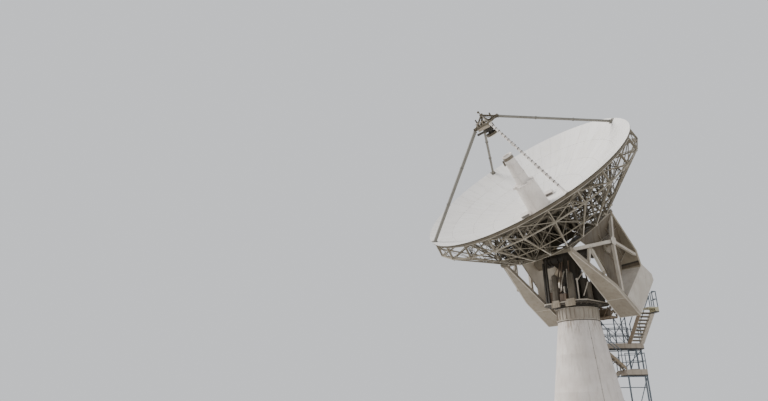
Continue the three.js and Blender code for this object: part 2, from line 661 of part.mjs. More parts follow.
function buildWing(dish, side) {
  const label = side < 0 ? "left" : "right";
  const x = (value) => side * value;
  const across = vec(1, 0, 0);

  // The plates widen outwards from the frame's corner to the wing's full width
  const plateTop = 2430;
  const down = vec(0, WING_FOOT.y - FRAME_FRONT.y, WING_FOOT.z - FRAME_FRONT.z);
  const length = down.length();
  const perZ = length / (FRAME_FRONT.z - WING_FOOT.z);
  const frontShape = outline([
    [x(plateTop), 0], [x(FRAME_HALF_WIDTH), 0], [x(WING_OUTER), (FRAME_FRONT.z + 1500) * perZ],
    [x(WING_OUTER), length], [x(WING_INNER), length],
  ]);
  const frontPlate = plate(
    frontShape, PLATE_DEPTH, vec(0, FRAME_FRONT.y, FRAME_FRONT.z), across, down.clone().normalize());

  const rearDown = vec(0, REAR_CORNER.y - FRAME_REAR.y, REAR_CORNER.z - FRAME_REAR.z);
  const rearLength = rearDown.length();
  const rearEnd = rearLength * (FRAME_REAR.z - WEIGHT_TOP + 100) / (FRAME_REAR.z - REAR_CORNER.z);
  const rearShape = outline([
    [x(plateTop), 0], [x(FRAME_HALF_WIDTH), 0], [x(WING_OUTER), rearLength * 0.9],
    [x(WING_OUTER), rearEnd], [x(WING_INNER), rearEnd],
  ]);
  const rearDirection = rearDown.clone().normalize();
  const rearNormal = across.clone().cross(rearDirection);
  const rearPlate = plate(
    rearShape, PLATE_DEPTH, vec(0, FRAME_REAR.y, FRAME_REAR.z).addScaledVector(rearNormal, -PLATE_DEPTH),
    across, rearDirection);

  // The web is bolted to the outside of the frame; a notch over the counterweight leaves a hole behind it
  const webFoot = WEIGHT_TOP + GAP;
  const web = outline([
    [-2250, 2200], [-1600, 1050], [-1600, -1100], [frontLine(-2050) + 100, -2050],
    [frontLine(WEIGHT_TOP) + 100, webFoot], [-700, webFoot], [550, -1690], [1600, -1650], [2180, -700],
    [2750, 1000], [2700, 1080],
  ]);
  const webX = side > 0 ? WEB_X : -WEB_X - WEB_THICKNESS;
  const webPlate = plate(web, WEB_THICKNESS, vec(webX, 0, 0), vec(0, 1, 0), vec(0, 0, 1));

  const front = vec(x(2600), FRAME_FRONT.y + 60, FRAME_FRONT.z - 120);
  const rear = vec(x(2600), FRAME_REAR.y - 60, FRAME_REAR.z - 60);
  const knuckle = vec(x(TRUNNION.x), TRUNNION.y, TRUNNION.z);
  const foot = vec(x(3450), frontLine(-2250) + 100, -2250);
  const back = vec(x(3450), REAR_CORNER.y - 60, REAR_CORNER.z);
  const knot = front.clone().lerp(knuckle, 0.45);
  const wing = fuse([
    frontPlate,
    rearPlate,
    webPlate,
    rod(vec(x(AXLE_HALF + 8), 0, 0), vec(x(WEB_X + 30), 0, 0), 560, 24),
    rod(vec(x(AXLE_HALF + 0.5), 0, 0), vec(x(AXLE_HALF + 40), 0, 0), 200, 16),
    rod(vec(x(WEB_X + 20), 0, 120), knuckle, 170, 10),
    bar(front, knuckle, 200, 150, across),
    bar(rear, knuckle, 200, 150, across),
    bar(knuckle, foot, 180, 140, across),
    bar(knuckle, back, 150, 120, across),
    bar(knot, vec(x(3020), frontLine(840) + 100, 840), 120, 120, across),
    bar(knot, vec(x(3420), frontLine(-320) + 100, -320), 120, 120, across),
  ]);
  const weightSpace = block(-4000, 4000, -1500, 2500, -5000, WEIGHT_TOP + GAP);
  addPiece(dish, `wing_${label}`, cut(wing, [...frameChords(GAP), weightSpace]), MATERIALS.wing());

  const inside = (z) => frontLine(z) + PLATE_DEPTH * perZ + GAP;
  const weight = outline([
    [inside(WEIGHT_TOP), WEIGHT_TOP], [inside(WING_FOOT.z), WING_FOOT.z], [1650, -4160], [1850, -3800],
    [1400, WEIGHT_TOP],
  ]);
  const weightX = side > 0 ? WING_INNER : -WING_OUTER;
  const weightBox = plate(weight, WING_OUTER - WING_INNER, vec(weightX, 0, 0), vec(0, 1, 0), vec(0, 0, 1));
  addPiece(dish, `counterweight_${label}`, weightBox, MATERIALS.plate());
}

// Feed tower on the hub, four legs and the apex frame with the subreflector

function buildTower(dish) {
  const bottom = bowl(HUB_HOLE_RADIUS) - SKIN;
  const shaft = HUB_HOLE_RADIUS - 30;
  const base = facet(TOWER_RADIUS / Math.cos(Math.PI / (2 * RIBS))) + GAP;
  const lug = 60;
  const tower = turned([
    [0, bottom], [shaft, bottom], [shaft, base], [TOWER_RADIUS, base], [TOWER_STEP_RADIUS, TOWER_STEP - lug],
    [TOWER_STEP_RADIUS + lug, TOWER_STEP - lug], [TOWER_STEP_RADIUS + lug, TOWER_STEP], [0, TOWER_STEP],
  ], 20);
  addPiece(dish, "feed_tower", tower, MATERIALS.reflector());
  const mouth = { wall: 50, throat: 170, depth: 350, cap: 110 };
  const horn = turned([
    [0, TOWER_STEP + GAP], [HORN_RADIUS + lug, TOWER_STEP + GAP], [HORN_RADIUS + lug, TOWER_STEP + lug],
    [HORN_RADIUS, TOWER_STEP + lug], [HORN_TOP_RADIUS, TOWER_TOP - mouth.cap],
    [HORN_TOP_RADIUS + lug / 2, TOWER_TOP - mouth.cap], [HORN_TOP_RADIUS + lug / 2, TOWER_TOP],
    [HORN_TOP_RADIUS - mouth.wall, TOWER_TOP], [HORN_TOP_RADIUS - mouth.throat, TOWER_TOP - mouth.depth],
    [0, TOWER_TOP - mouth.depth],
  ], 16);
  addPiece(dish, "feed_horn", horn, MATERIALS.reflector());
}

function buildFeed(dish) {
  buildTower(dish);
  const pastRim = DISH_RADIUS + 500;
  const underBowl = turned([
    [0, 3000], [pastRim, 3000], ...[...stations, pastRim].reverse().map((r) => [r, bowl(r) + GAP]),
    [0, bowl(HUB_HOLE_RADIUS) + GAP],
  ], 2 * RIBS);
  const cornerBlock = ({ x, y, z }, grow) => {
    const half = 110 + grow;
    return block(x - half, x + half, y - half, y + half, z - half, z + half);
  };
  const footHeight = bowl(LEG_FOOT_RADIUS);
  const platformRadius = LEG_FOOT_RADIUS * (APEX_HEIGHT - PLATFORM_HEIGHT) / (APEX_HEIGHT - footHeight);
  const apex = vec(0, 0, APEX_HEIGHT);
  const mountTop = PLATFORM_HEIGHT - 180;
  const buried = 200;
  const shoe = { radius: 140, length: 150 };
  const frame = [];
  for (let i = 0; i < 4; i += 1) {
    const degrees = LEG_TURN_DEG + 90 * i;
    const top = polar(platformRadius, degrees, PLATFORM_HEIGHT);
    const next = polar(platformRadius, degrees + 90, PLATFORM_HEIGHT);
    const foot = polar(LEG_FOOT_RADIUS, degrees, footHeight);
    const outward = foot.clone().sub(top).normalize();
    const root = foot.clone().addScaledVector(outward, buried);
    const shoeTop = foot.clone().addScaledVector(outward, -shoe.length);
    const leg = fuse([rod(top, root, LEG_RADII[i]), rod(shoeTop, root, shoe.radius)]);
    addPiece(dish, `feed_leg_${i + 1}`, cut(leg, [cornerBlock(top, GAP), underBowl]), MATERIALS.reflector());
    frame.push(cornerBlock(top, 0), bar(top, next, 110), rod(top, apex, PEAK_BAR_RADIUS));
    frame.push(bar(top, polar(120, degrees, mountTop + 40), 80));
  }
  frame.push(rod(vec(0, 0, mountTop), vec(0, 0, mountTop + 60), 260, 12));
  frame.push(rod(vec(0, 0, APEX_HEIGHT - 100), vec(0, 0, APEX_HEIGHT + 90), 120, 12));

  // The line of the fourth leg runs on past the apex to a small knob
  const past = apex.clone().sub(polar(LEG_FOOT_RADIUS, LEG_TURN_DEG + 270, footHeight)).normalize();
  const knob = apex.clone().addScaledVector(past, 400);
  frame.push(rod(apex, knob, 35), new THREE.SphereGeometry(85, 8, 6).translate(knob.x, knob.y, knob.z));
  addPiece(dish, "apex_frame", fuse(frame), MATERIALS.lattice());

  // The subreflector is a cup: a domed face with a rim that stands up behind it
  const mirror = { rim: 170, half: -80, centre: -110, back: 45, wall: 30 };
  const inside = SUBREFLECTOR_RADIUS - mirror.wall;
  const cup = turned([
    [0, mirror.centre], [SUBREFLECTOR_RADIUS / 2, mirror.half], [SUBREFLECTOR_RADIUS, 0],
    [SUBREFLECTOR_RADIUS, mirror.rim], [inside, mirror.rim], [inside, mirror.back], [0, mirror.back],
  ], 24);
  addPiece(dish, "subreflector", cup.translate(0, 0, SUBREFLECTOR_HEIGHT), MATERIALS.reflector());
  const mount = rod(vec(0, 0, SUBREFLECTOR_HEIGHT + mirror.back + GAP), vec(0, 0, mountTop - GAP), 200, 12);
  addPiece(dish, "subreflector_mount", mount, MATERIALS.machine());
}

function buildDish() {
  const dish = new THREE.Group();
  dish.position.z = AXIS_Z;
  dish.rotation.x = THREE.MathUtils.degToRad(90 - ELEVATION_DEG);
  buildReflector(dish);
  buildBackTrusses(dish);
  buildFrame(dish);
  buildWing(dish, 1);
  buildWing(dish, -1);
  buildFeed(dish);
  return dish;
}

const group = new THREE.Group();
group.add(buildPedestal(), buildStairs(), buildTurret(), buildDish());

export default group;
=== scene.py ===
import math
import random

import bpy
from mathutils import Matrix, Vector


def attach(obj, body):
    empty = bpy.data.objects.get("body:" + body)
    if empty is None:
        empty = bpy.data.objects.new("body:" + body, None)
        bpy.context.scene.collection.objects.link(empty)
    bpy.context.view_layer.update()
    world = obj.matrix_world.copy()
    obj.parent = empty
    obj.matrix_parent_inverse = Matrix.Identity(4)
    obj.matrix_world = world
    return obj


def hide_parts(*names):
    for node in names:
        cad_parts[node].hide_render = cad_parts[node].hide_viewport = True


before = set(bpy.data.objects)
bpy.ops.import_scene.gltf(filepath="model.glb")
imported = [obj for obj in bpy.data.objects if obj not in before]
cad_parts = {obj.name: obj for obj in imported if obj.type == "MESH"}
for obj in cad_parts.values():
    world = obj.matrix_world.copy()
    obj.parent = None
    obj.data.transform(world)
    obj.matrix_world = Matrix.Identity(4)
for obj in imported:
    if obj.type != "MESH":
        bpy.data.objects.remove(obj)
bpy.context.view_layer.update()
random.seed(7)

# Driving dimensions in metres, as in the part's own source
RING_Z = 7.6
AXIS_Z = RING_Z + 3.76
LEAN_DEG = 44.5
BAND_HEIGHT = 0.82
BAND_BOTTOM = RING_Z - BAND_HEIGHT
BAND_RADIUS = 1.335
CONE_SLOPE = 0.157
FOOT_HEIGHT = 0.07
BEARING_RADIUS = 1.39
DISH_RADIUS = 7.5
FOCAL_LENGTH = 6.0
RIM_HEIGHT = 6.48
VERTEX = RIM_HEIGHT - DISH_RADIUS**2 / (4 * FOCAL_LENGTH)
SKIN = 0.055
HUB_HOLE = 0.65
HUB_RADIUS = 1.3
HUB_BOTTOM = 2.48
OUTER_NODE = (7.48, RIM_HEIGHT - 1.06)
KNEE_NODE = (4.3, 2.52)
RIBS = 24
SECTORS = 6
FRAME_FRONT = (-3.5, 2.357)
FRAME_REAR = (3.07, 1.0)
FRAME_HALF_WIDTH = 2.72
WING_INNER = 2.09
WING_OUTER = 3.54
WING_FOOT = (-1.97, -4.255)
WEIGHT_TOP = -2.6
REAR_CORNER = (1.63, -2.0)
WEB_X = FRAME_HALF_WIDTH
LEG_TURN_DEG = 48.3
LEG_FOOT_RADIUS = 7.303
LEG_TUBES = (0.09, 0.09, 0.118, 0.077)
APEX_HEIGHT = 11.753
PLATFORM_HEIGHT = 11.15
SUBREFLECTOR_RADIUS = 0.43
SUBREFLECTOR_HEIGHT = 10.24
TOWER_RADIUS = 0.8
TOWER_STEP_RADIUS = 0.69
TOWER_STEP = VERTEX + 2.15
HORN_RADIUS = 0.47
HORN_TOP_RADIUS = 0.33
TOWER_TOP = VERTEX + 4.4
DECK_TOP = RING_Z + 0.38
DECK_HALF = 1.68
AXLE_RADIUS = 0.42
AXLE_HALF = 1.9
STAIR_TURN_DEG = 45
LOW_LANDING_Z = RING_Z - 3.76
MID_LANDING_Z = RING_Z - 1.9
TOP_LANDING_Z = RING_Z + 0.19

CAMERA_AT = (21.514, -33.19, 1.655)
CAMERA_TURNS_DEG = (-52.199, 20.453, -0.331)
LENS_MM = 25.65

UP = Vector((0, 0, 1))
ACROSS = Vector((1, 0, 0))
WORLD = Matrix.Identity(4)
DISH = Matrix.Translation((0, 0, AXIS_Z)) @ Matrix.Rotation(math.radians(LEAN_DEG), 4, "X")
STAIR = Matrix.Rotation(math.radians(STAIR_TURN_DEG), 4, "Z")


def bowl(r):
    """Height of the reflecting surface over the elevation axis, along the dish axis."""
    return VERTEX + r * r / (4 * FOCAL_LENGTH)


PLATFORM_RADIUS = LEG_FOOT_RADIUS * (APEX_HEIGHT - PLATFORM_HEIGHT) / (APEX_HEIGHT - bowl(LEG_FOOT_RADIUS))


def polar(r, degrees, z):
    angle = math.radians(degrees)
    return Vector((r * math.cos(angle), r * math.sin(angle), z))


def bearing(degrees):
    """The level unit vectors along a bearing and to the left of it."""
    return polar(1, degrees, 0), polar(1, degrees + 90, 0)


def spaced(outline, pitch):
    """Points along the sides of a closed outline, about a pitch apart."""
    for a, b in zip(outline, outline[1:] + outline[:1]):
        count = max(2, round((b - a).length / pitch))
        for k in range(count):
            yield a.lerp(b, (k + 0.5) / count)


def on_deck(x, y, z=0.001):
    """A point at a height over the turret's deck; what stands there starts 1 mm over it."""
    return Vector((x, y, DECK_TOP + z))


def rectangle(width, depth):
    return [(u * width / 2, v * depth / 2) for u, v in ((-1, -1), (1, -1), (1, 1), (-1, 1))]


def circle(radius, sides):
    turns = [math.tau * i / sides for i in range(sides)]
    return [(radius * math.cos(turn), radius * math.sin(turn)) for turn in turns]


def angle_section(leg):
    thickness = 0.008
    outline = [(0, 0), (leg, 0), (leg, thickness), (thickness, thickness), (thickness, leg), (0, leg)]
    return [(u - leg / 3, v - leg / 3) for u, v in outline]


class Solids:
    """Closed shapes gathered into the mesh of one piece, drawn in a frame of their own."""

    def __init__(self, place=WORLD):
        self.place = place
        self.points = []
        self.faces = []
        self.tones = []
        self.tone = 0.5
        self.paints = []
        self.paint = 0

    def add(self, points, faces, paints=None):
        start = len(self.points)
        self.points.extend(points)
        self.faces.extend(tuple(start + i for i in face) for face in faces)
        self.tones.extend([self.tone] * len(points))
        self.paints.extend(paints or [self.paint] * len(faces))

    def loft(self, rings):
        """A solid through rings of points that turn anticlockwise about the way they advance."""
        count = len(rings[0])
        last = (len(rings) - 1) * count
        faces = [tuple(reversed(range(count)))]
        for start in range(0, last, count):
            faces += [
                (start + i, start + (i + 1) % count, start + count + (i + 1) % count, start + count + i)
                for i in range(count)
            ]
        faces.append(tuple(range(last, last + count)))
        self.add([point for ring in rings for point in ring], faces)

    def beam(self, start, end, outline, up=UP):
        """A straight member with any section; the section's second axis lies along up."""
        along = (end - start).normalized()
        side = up.cross(along)
        side = side.normalized() if side.length > 1e-3 else ACROSS.cross(along).normalized()
        other = along.cross(side)
        self.loft([[at + side * u + other * v for u, v in outline] for at in (start, end)])

    def bar(self, start, end, width, depth=None, up=UP):
        self.beam(start, end, rectangle(width, depth or width), up)

    def tube(self, start, end, radius, end_radius=None, sides=16):
        along = (end - start).normalized()
        side = (ACROSS if abs(along.x) < 0.9 else UP).cross(along).normalized()
        other = along.cross(side)
        rings = []
        for at, r in ((start, radius), (end, radius if end_radius is None else end_radius)):
            rings.append([at + side * u + other * v for u, v in circle(r, sides)])
        self.loft(rings)

    def pipe(self, points, radius, sides=10):
        """A bent pipe through points, with mitred corners."""
        rings = []
        side = None
        for i, at in enumerate(points):
            before = at - points[max(i - 1, 0)]
            after = points[min(i + 1, len(points) - 1)] - at
            along = (before.normalized() + after.normalized()).normalized()
            if side is None:
                side = (ACROSS if abs(along.x) < 0.9 else UP).cross(along)
            side = (side - along * side.dot(along)).normalized()
            other = along.cross(side)
            rings.append([at + side * u + other * v for u, v in circle(radius, sides)])
        self.loft(rings)

    def box(self, low, high):
        x0, y0, z0 = low
        x1, y1, z1 = high
        corners = ((x0, y0), (x1, y0), (x1, y1), (x0, y1))
        self.loft([[Vector((x, y, z)) for x, y in corners] for z in (z0, z1)])

    def plate(self, corners, thickness):
        """A flat plate from its corners, grown by a thickness vector."""
        normal = sum(
            ((b - corners[0]).cross(c - corners[0]) for b, c in zip(corners[1:], corners[2:])), Vector())
        ordered = corners if normal.dot(thickness) > 0 else corners[::-1]
        self.loft([ordered, [corner + thickness for corner in ordered]])

    def lathe(self, profile, segments=64, centre=Vector()):
        """A solid of revolution about z; the profile runs up its outside, closed or from axis to axis."""
        on_axis = profile[0][0] == 0
        rings = []
        points = []
        for r, z in profile:
            if r == 0:
                rings.append([len(points)] * segments)
                points.append(centre + Vector((0, 0, z)))
            else:
                rings.append(list(range(len(points), len(points) + segments)))
                points += [centre + polar(r, 360 * i / segments, z) for i in range(segments)]
        faces = []
        pairs = list(zip(rings, rings[1:])) + ([] if on_axis else [(rings[-1], rings[0])])
        for a, b in pairs:
            for i in range(segments):
                j = (i + 1) % segments
                corners = [a[i], a[j], b[j], b[i]]
                faces.append(tuple(dict.fromkeys(corners)))
        self.add(points, faces)

    def bolt(self, at, axis, radius=0.02, height=0.016):
        self.tube(at, at + axis.normalized() * height, radius, sides=6)

    def bolt_ring(self, radius, z, count, size=0.02, height=0.02):
        for i in range(count):
            self.bolt(polar(radius, 360 * (i + 0.5) / count, z), UP, size, height)

    def finish(self, name, body, slot, finishes, replaced=()):
        """Makes the piece; its finishes are one name in MATERIALS, or a name for each paint number."""
        mesh = bpy.data.meshes.new(name)
        mesh.from_pydata([self.place @ Vector(point) for point in self.points], [], self.faces)
        mesh.polygons.foreach_set("material_index", self.paints)
        mesh.validate()
        tones = mesh.attributes.new("tone", "FLOAT", "POINT")
        tones.data.foreach_set("value", self.tones)
        mesh.polygons.foreach_set("use_smooth", [True] * len(mesh.polygons))
        mesh.set_sharp_from_angle(angle=math.radians(32))
        for finish in finishes.split():
            mesh.materials.append(MATERIALS[finish])
        piece = bpy.data.objects.new(name, mesh)
        bpy.context.scene.collection.objects.link(piece)
        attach(piece, body)
        if replaced:
            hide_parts(*replaced)
        return piece


# Camera and light


def make_camera():
    """The photograph's viewing angle: a standing person's eye, looking up at the dish."""
    yaw, pitch, roll = (math.radians(turn) for turn in CAMERA_TURNS_DEG)
    forward = Vector((math.sin(yaw) * math.cos(pitch), math.cos(yaw) * math.cos(pitch), math.sin(pitch)))
    level = Vector((math.cos(yaw), -math.sin(yaw), 0))
    upward = level.cross(forward)
    right = level * math.cos(roll) + upward * math.sin(roll)
    top = upward * math.cos(roll) - level * math.sin(roll)
    data = bpy.data.cameras.new("camera")
    data.lens = LENS_MM
    data.sensor_width = 36
    data.clip_end = 500
    camera = bpy.data.objects.new("camera", data)
    bpy.context.scene.collection.objects.link(camera)
    turn = Matrix((right, top, -forward)).transposed().to_4x4()
    camera.matrix_world = Matrix.Translation(CAMERA_AT) @ turn
    bpy.context.scene.camera = camera


def make_lights():
    world = bpy.data.worlds.new("studio")
    world.use_nodes = True
    background = world.node_tree.nodes["Background"]
    background.inputs["Color"].default_value = (0.66, 0.675, 0.70, 1)
    background.inputs["Strength"].default_value = 1.2
    bpy.context.scene.world = world
    for name, energy, angle, colour, towards in (
        ("key", 4.2, 25, (1.0, 0.97, 0.93), (0.72, 0.5, -0.62)),
        ("fill", 0.35, 60, (0.93, 0.96, 1.0), (-0.75, 0.35, -0.45)),
    ):
        data = bpy.data.lights.new(name, "SUN")
        data.energy = energy
        data.angle = math.radians(angle)
        data.color = colour
        lamp = bpy.data.objects.new(name, data)
        lamp.rotation_mode = "QUATERNION"
        lamp.rotation_quaternion = Vector(towards).to_track_quat("-Z", "Y")
        bpy.context.scene.collection.objects.link(lamp)


def make_floor():
    mesh = bpy.data.meshes.new("floor")
    mesh.from_pydata([polar(140, 360 * i / 64, 0) for i in range(64)], [], [tuple(range(64))])
    material = bpy.data.materials.new("floor_pale")
    material.use_nodes = True
    shader = material.node_tree.nodes["Principled BSDF"]
    shader.inputs["Base Color"].default_value = (0.6, 0.59, 0.57, 1)
    shader.inputs["Roughness"].default_value = 0.9
    mesh.materials.append(material)
    floor = bpy.data.objects.new("floor", mesh)
    bpy.context.scene.collection.objects.link(floor)


# Materials


class Nodes:
    """A short way to write a material's node tree."""

    def __init__(self, name):
        self.material = bpy.data.materials.new(name)
        self.material.use_nodes = True
        self.tree = self.material.node_tree
        self.shader = self.tree.nodes["Principled BSDF"]

    def new(self, kind, **values):
        node = self.tree.nodes.new(kind)
        for key, value in values.items():
            setattr(node, key, value)
        return node

    def link(self, source, target):
        self.tree.links.new(source, target)
        return target

    def coordinates(self, place=WORLD, scale=(1, 1, 1)):
        """Object coordinates in the given frame, stretched by a scale."""
        inverse = place.inverted()
        source = self.new("ShaderNodeTexCoord").outputs["Object"]
        turn = self.new("ShaderNodeMapping")
        turn.inputs["Location"].default_value = inverse.to_translation()
        turn.inputs["Rotation"].default_value = inverse.to_euler()
        self.link(source, turn.inputs["Vector"])
        stretch = self.new("ShaderNodeMapping")
        stretch.inputs["Scale"].default_value = scale
        self.link(turn.outputs["Vector"], stretch.inputs["Vector"])
        return stretch.outputs["Vector"]

    def axis_distance(self, vector):
        """The distance from the third axis of a frame, and the bearing about it."""
        split = self.new("ShaderNodeSeparateXYZ")
        self.link(vector, split.inputs["Vector"])
        squares = [self.math("POWER", split.outputs[axis], 2) for axis in "XY"]
        bearing = self.math("ARCTAN2", split.outputs["Y"], split.outputs["X"])
        return self.math("SQRT", self.math("ADD", *squares)), bearing

    def noise(self, vector, scale, detail=5, roughness=0.6):
        node = self.new("ShaderNodeTexNoise")
        node.inputs["Scale"].default_value = scale
        node.inputs["Detail"].default_value = detail
        node.inputs["Roughness"].default_value = roughness
        self.link(vector, node.inputs["Vector"])
        return node.outputs["Fac"]

    def ramp(self, value, low, high, to_low=0.0, to_high=1.0):
        node = self.new("ShaderNodeMapRange", interpolation_type="SMOOTHSTEP")
        self.link(value, node.inputs["Value"])
        for socket, number in zip(("From Min", "From Max", "To Min", "To Max"), (low, high, to_low, to_high)):
            node.inputs[socket].default_value = number
        return node.outputs["Result"]

    def math(self, operation, first, second=None):
        node = self.new("ShaderNodeMath", operation=operation)
        for socket, value in zip(node.inputs, (first, second)):
            if isinstance(value, (int, float)):
                socket.default_value = value
            elif value is not None:
                self.link(value, socket)
        return node.outputs["Value"]

    def mix(self, factor, first, second):
        node = self.new("ShaderNodeMix", data_type="RGBA")
        self.link(factor, node.inputs["Factor"])
        for socket, value in ((node.inputs["A"], first), (node.inputs["B"], second)):
            if isinstance(value, tuple):
                socket.default_value = (*value, 1)
            else:
                self.link(value, socket)
        return node.outputs["Result"]

    def bump(self, *heights):
        """Bumps one over the other, each a height, its strength and its depth in metres."""
        last = None
        for height, strength, depth in heights:
            node = self.new("ShaderNodeBump")
            node.inputs["Strength"].default_value = strength
            node.inputs["Distance"].default_value = depth
            self.link(height, node.inputs["Height"])
            if last is not None:
                self.link(last, node.inputs["Normal"])
            last = node.outputs["Normal"]
        self.link(last, self.shader.inputs["Normal"])


RUST = (0.16, 0.075, 0.035)


def painted_steel(
        name, base, dirty, grime=0.5, rust=0.3, roughness=0.55, streak=(5, 5, 0.35), wavy=0.01, zones=(),
        runs_from=None, lit_towards_rim=None):
    """
    Weathered paint: cloudy tone, grime that runs down, rust specks, and a fine brushed grain.

    A zone is a half-space, given by a normal and an offset, with a paint and a grime of its own; some zones
    carry painted shade or painted light. Rust runs hang from a height. Paint and grime may turn lighter towards
    the dish's rim and darker towards its hub, as painted light and painted shade.
    """
    nodes = Nodes(name)
    place = nodes.coordinates()
    if lit_towards_rim:
        outwards = nodes.ramp(nodes.axis_distance(nodes.coordinates(DISH))[0], 3.6, 6.9)
        base = nodes.mix(outwards, base, lit_towards_rim[0])
        dirty = nodes.mix(outwards, dirty, lit_towards_rim[1])
    for normal, offset, zone_base, zone_dirty in zones:
        beyond = nodes.new("ShaderNodeVectorMath", operation="DOT_PRODUCT")
        nodes.link(place, beyond.inputs[0])
        beyond.inputs[1].default_value = normal
        mask = nodes.ramp(beyond.outputs["Value"], offset - 0.004, offset + 0.004)
        base = nodes.mix(mask, base, zone_base)
        dirty = nodes.mix(mask, dirty, zone_dirty)
    runs = nodes.coordinates(scale=streak)
    cloud = nodes.noise(place, 0.7, 6)
    run = nodes.noise(runs, 1.6, 6, 0.65)
    speck = nodes.noise(place, 26, 4, 0.7)
    spread = nodes.noise(place, 2.3, 3)
    colour = nodes.mix(nodes.ramp(cloud, 0.35, 0.7, 0.0, 0.45), base, dirty)
    colour = nodes.mix(nodes.math("MULTIPLY", nodes.ramp(run, 0.48, 0.72), grime), colour, dirty)
    spots = nodes.math("MULTIPLY", nodes.ramp(speck, 0.62, 0.72), nodes.ramp(spread, 0.5, 0.68))
    colour = nodes.mix(nodes.math("MULTIPLY", spots, rust), colour, RUST)
    if runs_from:
        top, length = runs_from
        split = nodes.new("ShaderNodeSeparateXYZ")
        nodes.link(place, split.inputs["Vector"])
        narrow = nodes.noise(nodes.coordinates(scale=(3.2, 3.2, 0.22)), 2.2, 5, 0.7)
        near = nodes.ramp(split.outputs["Z"], top - length, top)
        stain = nodes.math("MULTIPLY", nodes.ramp(narrow, 0.46, 0.66, 0.0, 0.75), near)
        colour = nodes.mix(stain, colour, (0.23, 0.165, 0.11))
    nodes.link(colour, nodes.shader.inputs["Base Color"])
    nodes.link(nodes.ramp(run, 0.3, 0.75, roughness - 0.08, roughness + 0.25),
        nodes.shader.inputs["Roughness"])
    nodes.bump((nodes.noise(place, 1.3, 2), 0.35, wavy), (nodes.noise(place, 55, 3), 0.25, 0.003))
    return nodes.material


def reflector_paint():
    """Matt white panels, each with its own tone, with faint radial streaks and fine dirt."""
    nodes = Nodes("reflector_paint")
    local = nodes.coordinates(DISH)
    radius, turn = nodes.axis_distance(local)
    join = nodes.new("ShaderNodeCombineXYZ")
    nodes.link(nodes.math("MULTIPLY", turn, 14), join.inputs["X"])
    nodes.link(nodes.math("MULTIPLY", radius, 0.5), join.inputs["Y"])
    radial = nodes.noise(join.outputs["Vector"], 1.4, 6, 0.6)
    cloud = nodes.noise(local, 0.45, 5)
    fine = nodes.noise(local, 9, 5, 0.7)
    tone = nodes.new("ShaderNodeAttribute", attribute_name="tone").outputs["Fac"]
    colour = nodes.mix(nodes.ramp(tone, 0, 1), (0.725, 0.705, 0.68), (0.775, 0.76, 0.735))
    for pattern, low, high, strength, stain in (
        (radial, 0.45, 0.75, 0.45, (0.55, 0.53, 0.49)), (cloud, 0.5, 0.75, 0.4, (0.62, 0.60, 0.55)),
        (fine, 0.6, 0.8, 0.3, (0.42, 0.39, 0.34)),
    ):
        colour = nodes.mix(nodes.math("MULTIPLY", nodes.ramp(pattern, low, high), strength), colour, stain)
    nodes.link(colour, nodes.shader.inputs["Base Color"])
    nodes.link(nodes.ramp(fine, 0.3, 0.7, 0.5, 0.72), nodes.shader.inputs["Roughness"])
    nodes.bump((cloud, 0.3, 0.02), (fine, 0.2, 0.003))
    return nodes.material


def dish_zone(normal, offset):
    """A half-space of the dish's own frame, in world coordinates at rest."""
    turned = DISH.to_3x3() @ Vector(normal)
    return tuple(turned), offset + turned.dot(DISH.to_translation())


def flight_zone(foot, towards, height, rise, run, lift):
    """The half-space over the step line of a flight; foot and direction are in the stair's frame."""
    along = STAIR.to_3x3() @ Vector((*towards, 0)).normalized()
    slope = rise / run
    start = STAIR @ Vector((*foot, height + lift))
    normal = Vector((-slope * along.x, -slope * along.y, 1))
    return tuple(normal), normal.dot(start)


def beside_zone(foot, towards, distance):
    """The half-space past a distance to the left of the way a flight climbs, or to its right if negative."""
    left = UP.cross(STAIR.to_3x3() @ Vector((*towards, 0)).normalized())
    normal = left if distance >= 0 else -left
    return tuple(normal), normal.dot(STAIR @ Vector((*foot, 0))) + abs(distance)


WHITE, WHITE_DIRT = (0.68, 0.64, 0.60), (0.44, 0.39, 0.345)
# Painted shade: the web plates' brown is darkened to stand for the shade under the dish.
SHADED_BROWN, SHADED_BROWN_DIRT = (0.13, 0.102, 0.066), (0.052, 0.04, 0.026)
BLUE, BLUE_DIRT = (0.13, 0.158, 0.185), (0.065, 0.072, 0.08)
# Painted light: the lighter paint and grime that the lattice takes towards the dish's rim.
LIT_RIM_STEEL = ((0.30, 0.265, 0.205), (0.13, 0.108, 0.078))
TREAD, TREAD_DIRT = (0.45, 0.385, 0.31), (0.22, 0.17, 0.12)
LIGHT_TREAD = (0.50, 0.445, 0.37)
# Painted shade along the landings' lower edges.
SHADE_EDGE, SHADE_EDGE_DIRT = (0.05, 0.045, 0.04), (0.03, 0.028, 0.025)


def landing_steel(name, top, depth=0.42, base=TREAD, dirt=TREAD_DIRT):
    """A brown fascia whose lower edge is near black as painted shade, under blue-grey rails."""
    shaded_edge = 0.07
    zones = [
        ((0, 0, -1), depth - shaded_edge - top, SHADE_EDGE, SHADE_EDGE_DIRT), ((0, 0, 1), top + 0.015, BLUE, BLUE_DIRT)]
    return painted_steel(name, base, dirt, 0.5, 0.5, zones=zones)


SLANT = math.radians(12.4)
UPPER_WAY = (math.sin(SLANT), -math.cos(SLANT))
# Each flight in the stair's frame: foot on the right of its way up, way up, foot height, rise, run, steps
FLIGHTS = {
    "lower": ((-0.25, 3.44), (1, 0), 0, LOW_LANDING_Z, 3.6, 19),
    "middle": ((3.35, 3.32), (-1, 0), LOW_LANDING_Z, MID_LANDING_Z - LOW_LANDING_Z, 1.8, 9),
    "upper": ((4.19, 3.6), UPPER_WAY, MID_LANDING_Z, TOP_LANDING_Z - MID_LANDING_Z, 2.2, 10),
}


